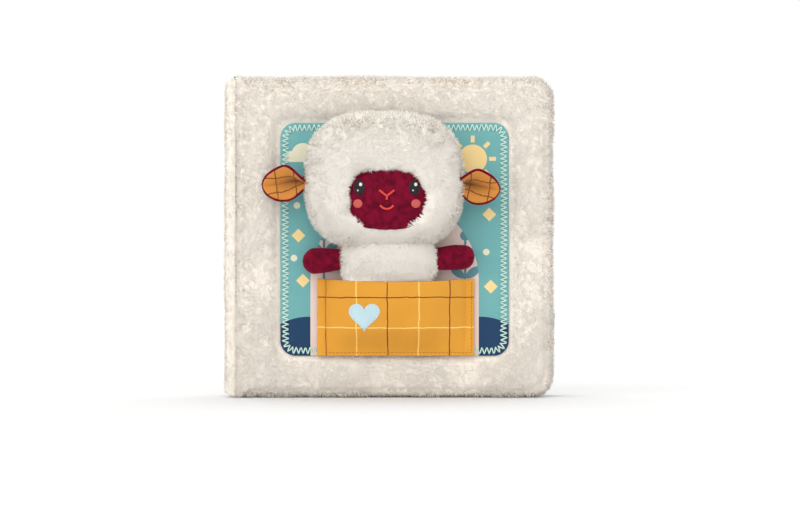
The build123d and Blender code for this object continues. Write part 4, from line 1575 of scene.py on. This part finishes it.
class LAMB_OT_head(bpy.types.Operator):
    """Makes the lamb's wool head"""

    bl_idname = "cloth_book.lamb_head"
    bl_label = "Lamb's Head"

    def execute(self, context):
        settings = context.scene.lamb_wool
        material = pile_material("lamb_wool", settings.tip, settings.root, 2)
        points, kinds, turn = head_grid(settings.inset / MM)
        share = np.broadcast_to(kinds[:, None], points.shape[:2]).copy()
        reach = np.ones(points.shape[:2])
        reach[:3] = 0.9
        stand = np.abs(np.arange(len(kinds)) - OUTLINE_ROW)[:, None] / 7.0
        lie = 1 - 0.5 * ease(1 - stand) * np.ones(points.shape[:2])
        reach *= 1 + 0.25 * ease(1 - stand)
        lean = np.zeros_like(points)
        lean[..., 2] = -0.55
        lean[..., 0] = (points[..., 0] - HEAD_PLACE[0]) / HEAD_HALF[0] * 0.35
        inward = np.stack([-np.cos(turn), 0 * turn, -np.sin(turn)], axis=1)
        for row, pull in enumerate((0.9, 0.9, 0.9, 0.8, 0.6, 0.35)):
            lean[row] = lean[row] * (1 - pull) + inward * pull
        surface, depth, facing = pile_on(
            points, share, reach, lean, settings.locks, settings, 7.5, 500, 0.9, lie
        )
        surface[0][:, 1] = np.minimum(surface[0][:, 1], -25.3)
        piece = new_piece(
            "lamb_head_fleece",
            surface,
            material,
            "front_cover",
            ("lamb_head_wool",),
            depth,
            facing=facing,
        )
        return {"FINISHED"}


def body_grid(inset):
    """The lamb's body: ovals from the pocket's foot to the neck."""
    stations = np.array(
        [
            (40.5, 0.55, 4.5),
            (47.0, 0.74, 8.0),
            (58.0, 0.84, 10.5),
            (70.0, 0.93, 14.0),
            (79.5, 0.99, 19.0),
            (85.0, 1.02, 23.0),
            (92.5, 1.04, 25.5),
            (98.0, 1.0, 26.5),
            (104.0, 0.94, 26.5),
        ]
    )
    rise = np.linspace(stations[0, 0], stations[-1, 0], 34)
    wide = np.interp(rise, stations[:, 0], stations[:, 1]) * 31.5 - inset
    deep = np.maximum(np.interp(rise, stations[:, 0], stations[:, 2]) / 2 - inset * 0.5, 1.0)
    turn = np.linspace(0, 2 * np.pi, 96, endpoint=False)
    x = wide[:, None] * np.cos(turn)
    y = -25.4 - inset * 0.5 - deep[:, None] + deep[:, None] * np.sin(turn)
    z = np.broadcast_to(rise[:, None], x.shape)
    return np.stack([x, y, z], axis=-1)


def arm_surface(side):
    """A stubby arm: rings along X whose radius follows a soft club, with a fold where it joins."""
    length = 29.5
    share = np.linspace(0, 1, 40)
    along = length * share
    club = 6.9 + 1.5 * ease(share / 0.6)
    cap = np.sqrt(np.clip(1 - np.clip((share - 0.72) / 0.28, 0, 1) ** 2, 0.0, 1))
    radius = np.maximum(club * cap, 0.15)
    turn = np.linspace(0, 2 * np.pi, 48, endpoint=False)
    y = radius[:, None] * 0.88 * np.cos(turn)
    z = radius[:, None] * np.sin(turn)
    x = np.broadcast_to(along[:, None], y.shape)
    points = np.stack([x, y, z], axis=-1)
    seam = np.exp(-((np.sin(turn) / 0.12) ** 2)) * (np.cos(turn) < 0)
    points[..., 1] += 0.3 * seam[None, :]
    dent = soft_noise(points, 7.5, 90 + side) * 0.55
    points[..., 1:] *= (1 + dent / 8.5)[..., None]
    centre = np.array([27.5, -25.4 - 8.6, 92.3])
    lift = 0.05 * side
    turned = points.copy()
    turned[..., 2] = points[..., 2] + lift * points[..., 0]
    turned[..., 1] = points[..., 1] - 0.03 * points[..., 0]
    turned = turned + centre
    turned[..., 1] = np.minimum(turned[..., 1], -25.5)
    turned[..., 0] *= side
    return closed_shell(turned)


class LAMB_OT_body(bpy.types.Operator):
    """Makes the lamb's wool body and its velvet arms"""

    bl_idname = "cloth_book.lamb_body"
    bl_label = "Lamb's Body"

    def execute(self, context):
        settings = context.scene.lamb_wool
        points = body_grid(settings.inset / MM * 0.7)
        share = np.ones(points.shape[:2])
        share *= ease((points[..., 2] - 66) / 12) + 0.02
        share *= np.where(points[..., 1] > -27.5, 0.1, 1)
        reach = np.ones(points.shape[:2]) * 0.85
        reach = np.where(points[..., 2] < 81, 0.4, reach)
        lean = np.zeros_like(points)
        lean[..., 2] = -0.9 * ease((points[..., 2] - 79) / 10)
        surface, depth, facing = pile_on(
            points, share, reach, lean, BODY_LOCKS, settings, 7.0, 700, 0.5
        )
        surface[0][:, 1] = np.minimum(surface[0][:, 1], -25.45)
        piece = new_piece(
            "lamb_body_fleece",
            surface,
            bpy.data.materials["lamb_wool_cloth"],
            "front_cover",
            ("lamb_body_wool",),
            depth,
            facing=facing,
        )
        velvet = bpy.data.materials["lamb_velvet_cloth"]
        for side, name in ((-1, "left"), (1, "right")):
            arm = new_piece(
                "lamb_velvet_arm_" + name,
                arm_surface(side),
                velvet,
                "front_cover",
                ("lamb_arm_" + name,),
            )
        return {"FINISHED"}


def sewn_patch(centre, half, lift, turn_count=40):
    """An oval of satin stitch on the face: rings that dome up and sink at the edge."""
    turn = np.linspace(0, 2 * np.pi, turn_count, endpoint=False)
    rows = []
    sizes = (0.03, 0.4, 0.7, 0.9, 1.0, 1.02, 0.5)
    for size, rise in zip(sizes, (1.0, 0.97, 0.85, 0.6, 0.2, -0.6, -0.9)):
        x = centre[0] + half[0] * size * np.cos(turn)
        z = centre[1] + half[1] * size * np.sin(turn)
        rows.append(np.stack([x, face_front(x, z) - lift * rise, z], axis=1))
    return closed_shell(np.array(rows))


def sewn_line(path, width, height):
    """A stitched line on the face: a flat oval thread along a path."""
    depth = face_front(path[:, 0], path[:, 1]) - height * 0.4
    points = np.stack([path[:, 0], depth, path[:, 1]], axis=1)
    return tube(points, (width / 2, height / 2), 8, False, np.array([0.0, -1.0, 0.0]))


class LAMB_OT_face(bpy.types.Operator):
    """Makes the lamb's velvet face and its sewn features"""

    bl_idname = "cloth_book.lamb_face"
    bl_label = "Lamb's Face"

    def execute(self, context):
        settings = context.scene.lamb_velvet
        velvet = velvet_material("lamb_velvet", settings.cloth, settings.crushed_nap_shade)
        turn = np.linspace(0, 2 * np.pi, 96, endpoint=False)
        rows = []
        reach = face_opening(turn, 1.6)
        sizes = (0.02, 0.2, 0.4, 0.6, 0.8, 0.94, 1.0, 1.02, 0.5)
        for size, sink in zip(sizes, (0, 0, 0, 0, 0, 0.1, 0.8, 4.0, 6.0)):
            x = FACE_PLACE[0] + reach * size * np.cos(turn)
            z = FACE_PLACE[1] + reach * size * np.sin(turn)
            rows.append(np.stack([x, face_front(x, z) + sink, z], axis=1))
        points = np.array(rows)
        points[:6, :, 1] += soft_noise(points[:6], 9.0, 44) * 0.35
        piece = new_piece(
            "lamb_velvet_face", closed_shell(points), velvet, "front_cover", ("lamb_face",)
        )
        eye = thread_material("eye_thread", settings.eye, 0.45, "X")
        shine = thread_material("shine_thread", settings.shine, 0.45, "X")
        smile = thread_material("smile_thread", settings.smile, 0.5, "X")
        cheek = thread_material("cheek_thread", settings.cheek, 0.5, "Z")
        for side, name in ((-1, "left"), (1, "right")):
            centre = (FACE_PLACE[0] + side * 18.0, FACE_PLACE[1] + 6.6)
            new_piece(
                "lamb_sewn_eye_" + name,
                sewn_patch(centre, (3.6, 5.0), 0.75),
                eye,
                "front_cover",
                ("lamb_eye_" + name,),
            )
            glint = joined(
                [
                    sewn_patch((centre[0] + 0.9, centre[1] + 2.0), (1.15, 1.35), 1.25, 20),
                    sewn_patch((centre[0] - 0.9, centre[1] - 1.9), (0.55, 0.65), 1.2, 14),
                ]
            )
            new_piece("lamb_eye_glint_" + name, glint, shine, "front_cover")
        lean = np.radians(38.0)
        base = FACE_PLACE + (0.0, 1.0)
        share = np.linspace(0, 1, 9)[:, None]
        strokes = []
        wide, tall = 6.2 * np.cos(lean), 6.2 * np.sin(lean)
        for end in ((wide, tall), (-wide, tall), (0.0, -2.4)):
            strokes.append(sewn_line(base + share * np.array(end), 1.3, 1.1))
        new_piece("lamb_sewn_nose", joined(strokes), smile, "front_cover", ("lamb_nose",))
        bow = np.linspace(-np.pi * 0.83, -np.pi * 0.17, 15)
        path = FACE_PLACE + (0.0, -2.4) + 5.0 * np.stack([np.cos(bow), np.sin(bow)], axis=1)
        mouth = sewn_line(path, 1.3, 1.1)
        new_piece("lamb_sewn_smile", mouth, smile, "front_cover", ("lamb_mouth",))
        rounds = []
        for side in (-1, 1):
            centre = (FACE_PLACE[0] + side * 19.0, FACE_PLACE[1] - 3.9)
            rounds.append(sewn_patch(centre, (3.0, 2.8), 0.6))
        new_piece("lamb_sewn_cheeks", joined(rounds), cheek, "front_cover", ("lamb_cheeks",))
        return {"FINISHED"}


# Length of an ear along its middle. Each value below is by side, -1 for the left ear and 1 for the right
# one. A fold is the angle of the upper and the lower half of the cloth from the fold's plane, at the root
# and at the tip, in degrees.
EAR_LENGTH = {-1: 34.0, 1: 31.0}
EAR_FOLD = {-1: ((-46.0, 46.0), (44.0, 58.0)), 1: ((-20.0, 40.0), (44.0, 60.0))}
EAR_CREST = {-1: 3.0, 1: 2.0}
EAR_ROOT = {-1: (-50.0, -38.5, 144.6), 1: (43.5, -38.5, 143.6)}
EAR_AHEAD = {-1: (-1.0, -0.05, -0.13), 1: (1.0, -0.2, -0.2)}


def ear_grid(side, width_share, length_share, push):
    """An ear's cloth: a rounded leaf folded along its middle, shut at the root and open at the tip.

    Each half runs from the crease along a line whose angle from the fold's plane grows from root
    to tip and curls outward along the cloth. Its places are the running sum of that direction.
    push moves the layer along its own normal, towards the inside of the fold.
    """
    length = EAR_LENGTH[side] * length_share
    share = np.linspace(0, 1, 24)[:, None]
    across = np.linspace(-1, 1, 25)[None, :]
    tip = np.sqrt(np.clip(1 - np.clip((share - 0.4) / 0.6, 0, 1) ** 2.3, 0.0, 1))
    half_width = 14.0 * width_share * np.maximum(tip, 0.02) * (0.66 + 0.34 * ease(share / 0.5))
    upper = across > 0
    open_share = ease((share + 0.04) / 0.62)
    (shut_up, wide_up), (shut_low, wide_low) = EAR_FOLD[side]
    start_up = shut_up + (wide_up - shut_up) * open_share
    start_low = shut_low + (wide_low - shut_low) * open_share
    start = np.where(upper, start_up, start_low)
    curl = np.where(upper, 10.0 + 22.0 * open_share, 6.0 + 20.0 * open_share)
    angle = np.radians(start + curl * np.abs(across) ** 1.3)
    middle = across.shape[1] // 2
    stretch = half_width / middle
    sideways = np.sin(angle) * stretch * np.sign(across)
    forward = np.cos(angle) * stretch
    lateral = np.zeros_like(sideways)
    depth = np.zeros_like(forward)
    lateral[:, middle + 1 :] = np.cumsum(sideways[:, middle + 1 :], axis=1)
    lateral[:, :middle] = np.cumsum(sideways[:, :middle][:, ::-1], axis=1)[:, ::-1]
    depth[:, middle + 1 :] = np.cumsum(forward[:, middle + 1 :], axis=1)
    depth[:, :middle] = np.cumsum(forward[:, :middle][:, ::-1], axis=1)[:, ::-1]
    along = length * share + 0 * across
    lateral = lateral + EAR_CREST[side] * (1 - ease(share / 0.75))
    depth = depth - 3.0 * share**2
    root = np.array(EAR_ROOT[side])
    ahead = unit(np.array(EAR_AHEAD[side]))
    up = unit(np.array([0.0, 0.0, 1.0]) - ahead[2] * ahead)
    front = np.cross(up, ahead)
    front = front if front[1] < 0 else -front
    points = root + along[..., None] * ahead + lateral[..., None] * up + depth[..., None] * front
    crease = soft_noise(points, 7.0, 60 + side) * 0.4
    points = points + crease[..., None] * front
    normals = unit(np.cross(np.gradient(points, axis=0), np.gradient(points, axis=1)))
    facing = np.sign(np.einsum("ijk,k->ij", normals, front).mean())
    points = points + push * facing * normals
    plan = np.stack([along, half_width * across], axis=-1)
    return points, plan


def ear_print(settings):
    """Mustard cotton with a fine check on the cloth's own plan, with painted shade in the crease at the
    root.
    """

    def colour_of(desk, place):
        parts = desk.split(place)
        wander = desk.sum("MULTIPLY_ADD", desk.noise(place, 0.2, 2.0), 2.0, -1.0)
        across = desk.sum("ADD", parts["X"], wander)
        upward = desk.sum("ADD", parts["Z"], wander)
        lines = None
        for value, middle in ((across, 11.0), (across, 24.0), (upward, -6.5), (upward, 6.0)):
            mask = desk.group(GROUPS["line"], value=value, middle=middle, width=0.7).outputs[0]
            lines = mask if lines is None else desk.sum("MAXIMUM", lines, mask)
        # Painted shade: the lining darkens towards the crease near the root, where the fold's shadow falls.
        beside = desk.sum("POWER", desk.sum("MULTIPLY", parts["Z"], 0.17), 2.0)
        shade_near_root = desk.sum("MULTIPLY", desk.sum("SUBTRACT", 27.0, parts["X"]), 0.06)
        made = desk.add("ShaderNodeClamp")
        desk.feed(made.inputs["Value"], shade_near_root)
        shade_near_crease = desk.sum("EXPONENT", desk.sum("MULTIPLY", beside, -1.0))
        crease = desk.sum("MULTIPLY", shade_near_crease, made.outputs[0])
        folded = tuple(0.22 * value for value in settings.ear_lining)
        cloth = desk.mix(crease, opaque(settings.ear_lining), opaque(folded))
        return desk.mix(lines, cloth, opaque(settings.ear_line))

    return colour_of


class LAMB_OT_ears(bpy.types.Operator):
    """Makes the lamb's ears: velvet backs with a cotton lining"""

    bl_idname = "cloth_book.lamb_ears"
    bl_label = "Lamb's Ears"

    def execute(self, context):
        settings = context.scene.lamb_velvet
        velvet = bpy.data.materials["lamb_velvet_cloth"]
        cotton = cotton_material("ear_cotton", ear_print(settings), bump=0.35, uv=True)
        for side, name in ((-1, "left"), (1, "right")):
            for label, material, width, length, push, thick, node, slot in (
                ("lamb_velvet_ear_", velvet, 1.0, 1.0, 0.0, 1.7, "lamb_ear_", "velvet_red"),
                ("lamb_cotton_ear_", cotton, 0.9, 0.955, 1.3, 0.9, "lamb_ear_lining_", "ear_mustard"),
            ):
                points, plan = ear_grid(side, width, length, push)
                rows, columns = points.shape[:2]
                surface = (points.reshape(-1, 3), grid_quads(rows, columns, False), np.zeros((0, 3), int))
                flat_plan = plan.reshape(-1, 2)
                piece = new_piece(
                    label + name, surface, material, "front_cover", (node + name,), plan=flat_plan
                )
                thicken(piece, thick * MM, 0.0, 1)
                meshes = np.cross(np.diff(points, axis=0)[:, :-1], np.diff(points, axis=1)[:-1])
                area = np.linalg.norm(meshes, axis=-1).sum()
        return {"FINISHED"}


# Stage

# Half the floor's width in metres, its grey, and the glow that the camera sees on it.
FLOOR_HALF = 4.0
FLOOR_GREY = 0.78
FLOOR_GLOW = 0.05


def background_share(desk):
    """1 for a ray that shows the background, straight or through gloss or glass, and 0 for the rest."""
    rays = desk.add("ShaderNodeLightPath")
    seen = desk.sum("MAXIMUM", rays.outputs["Is Camera Ray"], rays.outputs["Is Glossy Ray"])
    return desk.sum("MAXIMUM", seen, rays.outputs["Is Transmission Ray"])


class STAGE_OT_studio(bpy.types.Operator):
    """Makes the floor, the soft lights and the camera"""

    bl_idname = "cloth_book.stage"
    bl_label = "Stage"

    def execute(self, context):
        settings = context.scene.book_stage
        scene = context.scene
        scene.view_settings.view_transform = "Standard"

        wide = FLOOR_HALF
        corners = [(-wide, -wide, 0), (wide, -wide, 0), (wide, wide, 0), (-wide, wide, 0)]
        mesh = bpy.data.meshes.new("floor")
        mesh.from_pydata(corners, [], [(0, 1, 2, 3)])
        floor = bpy.data.objects.new("floor", mesh)
        scene.collection.objects.link(floor)
        material = bpy.data.materials.new("floor_paper")
        material.use_nodes = True
        desk = Desk(material.node_tree)
        shader = material.node_tree.nodes["Principled BSDF"]
        shader.inputs["Base Color"].default_value = (FLOOR_GREY, FLOOR_GREY, FLOOR_GREY, 1)
        shader.inputs["Roughness"].default_value = 0.9
        shader.inputs["Specular IOR Level"].default_value = 0.0
        glow = desk.add("ShaderNodeEmission")
        desk.feed(glow.inputs["Strength"], desk.sum("MULTIPLY", background_share(desk), FLOOR_GLOW))
        total = desk.add("ShaderNodeAddShader")
        desk.feed(total.inputs[0], shader.outputs[0])
        desk.feed(total.inputs[1], glow.outputs[0])
        output = material.node_tree.nodes["Material Output"]
        desk.feed(output.inputs["Surface"], total.outputs[0])
        mesh.materials.append(material)

        world = scene.world or bpy.data.worlds.new("surround")
        scene.world = world
        world.use_nodes = True
        tree = world.node_tree
        tree.nodes.clear()
        air = Desk(tree)
        back = air.add("ShaderNodeBackground")
        air.feed(back.inputs["Color"], (1.0, 1.0, 1.0, 1.0))
        seen = background_share(air)
        air.feed(back.inputs["Strength"], air.sum("MULTIPLY_ADD", seen, 1.0 - settings.air, settings.air))
        output = air.add("ShaderNodeOutputWorld")
        air.feed(output.inputs["Surface"], back.outputs[0])

        lamps = (
            ("key", settings.key, 80.0, (-0.5, -1.0, 0.42), (1.0, 0.995, 0.985)),
            ("fill", settings.fill, 100.0, (0.6, -1.0, 0.1), (1.0, 0.99, 0.97)),
            ("top", settings.top, 70.0, (0.05, 0.55, 1.0), (1.0, 1.0, 1.0)),
        )
        for name, power, width, place, colour in lamps:
            lamp = bpy.data.lights.new(name, "SUN")
            lamp.energy = power
            lamp.angle = np.radians(width)
            lamp.color = colour
            made = bpy.data.objects.new(name, lamp)
            scene.collection.objects.link(made)
            aim = -np.array(place)
            made.rotation_euler = (
                np.arctan2(np.hypot(aim[0], aim[1]), -aim[2]),
                0.0,
                np.arctan2(aim[1], aim[0]) - np.pi / 2,
            )

        lens = bpy.data.cameras.new("camera")
        lens.sensor_width = 36.0
        lens.lens = 36.0 * settings.distance / settings.view_width
        camera = bpy.data.objects.new("camera", lens)
        scene.collection.objects.link(camera)
        camera.location = (settings.centre_x, cover_low[1] - settings.distance, settings.centre_z)
        camera.rotation_euler = (np.pi / 2, 0.0, 0.0)
        scene.camera = camera
        return {"FINISHED"}


# Sidebar and registration

OPERATORS = (
    BOOK_OT_fleece,
    BOOK_OT_linings,
    BOOK_OT_pages,
    BOOK_OT_panel,
    BOOK_OT_pocket,
    LAMB_OT_face,
    LAMB_OT_head,
    LAMB_OT_body,
    LAMB_OT_ears,
    STAGE_OT_studio,
)


class BOOK_PT_sidebar(bpy.types.Panel):
    """Lists the pieces of the book and their settings"""

    bl_idname = "BOOK_PT_sidebar"
    bl_label = "Baby Activity Book"
    bl_space_type = "VIEW_3D"
    bl_region_type = "UI"
    bl_category = "Cloth Book"

    def draw(self, context):
        for operator in OPERATORS:
            self.layout.operator(operator.bl_idname)
        for name, group in SETTINGS.items():
            box = self.layout.box()
            box.label(text=name.replace("_", " ").title())
            for key in group.__annotations__:
                box.prop(getattr(context.scene, name), key)


def register():
    for group in SETTINGS.values():
        bpy.utils.register_class(group)
    for name, group in SETTINGS.items():
        setattr(bpy.types.Scene, name, PointerProperty(type=group))
    for operator in OPERATORS:
        bpy.utils.register_class(operator)
    bpy.utils.register_class(BOOK_PT_sidebar)


def unregister():
    bpy.utils.unregister_class(BOOK_PT_sidebar)
    for operator in reversed(OPERATORS):
        bpy.utils.unregister_class(operator)
    for name in SETTINGS:
        delattr(bpy.types.Scene, name)
    for group in reversed(SETTINGS.values()):
        bpy.utils.unregister_class(group)


def main():
    """Makes every piece in order."""
    register()
    GROUPS["weave"] = weave_group()
    GROUPS["disc"] = disc_group()
    GROUPS["line"] = line_group()
    bpy.ops.cloth_book.fleece()
    bpy.ops.cloth_book.linings()
    bpy.ops.cloth_book.pages()
    bpy.ops.cloth_book.panel()
    bpy.ops.cloth_book.pocket()
    bpy.ops.cloth_book.lamb_face()
    bpy.ops.cloth_book.lamb_head()
    bpy.ops.cloth_book.lamb_body()
    bpy.ops.cloth_book.lamb_ears()
    bpy.ops.cloth_book.stage()


if __name__ == "__main__":
    main()
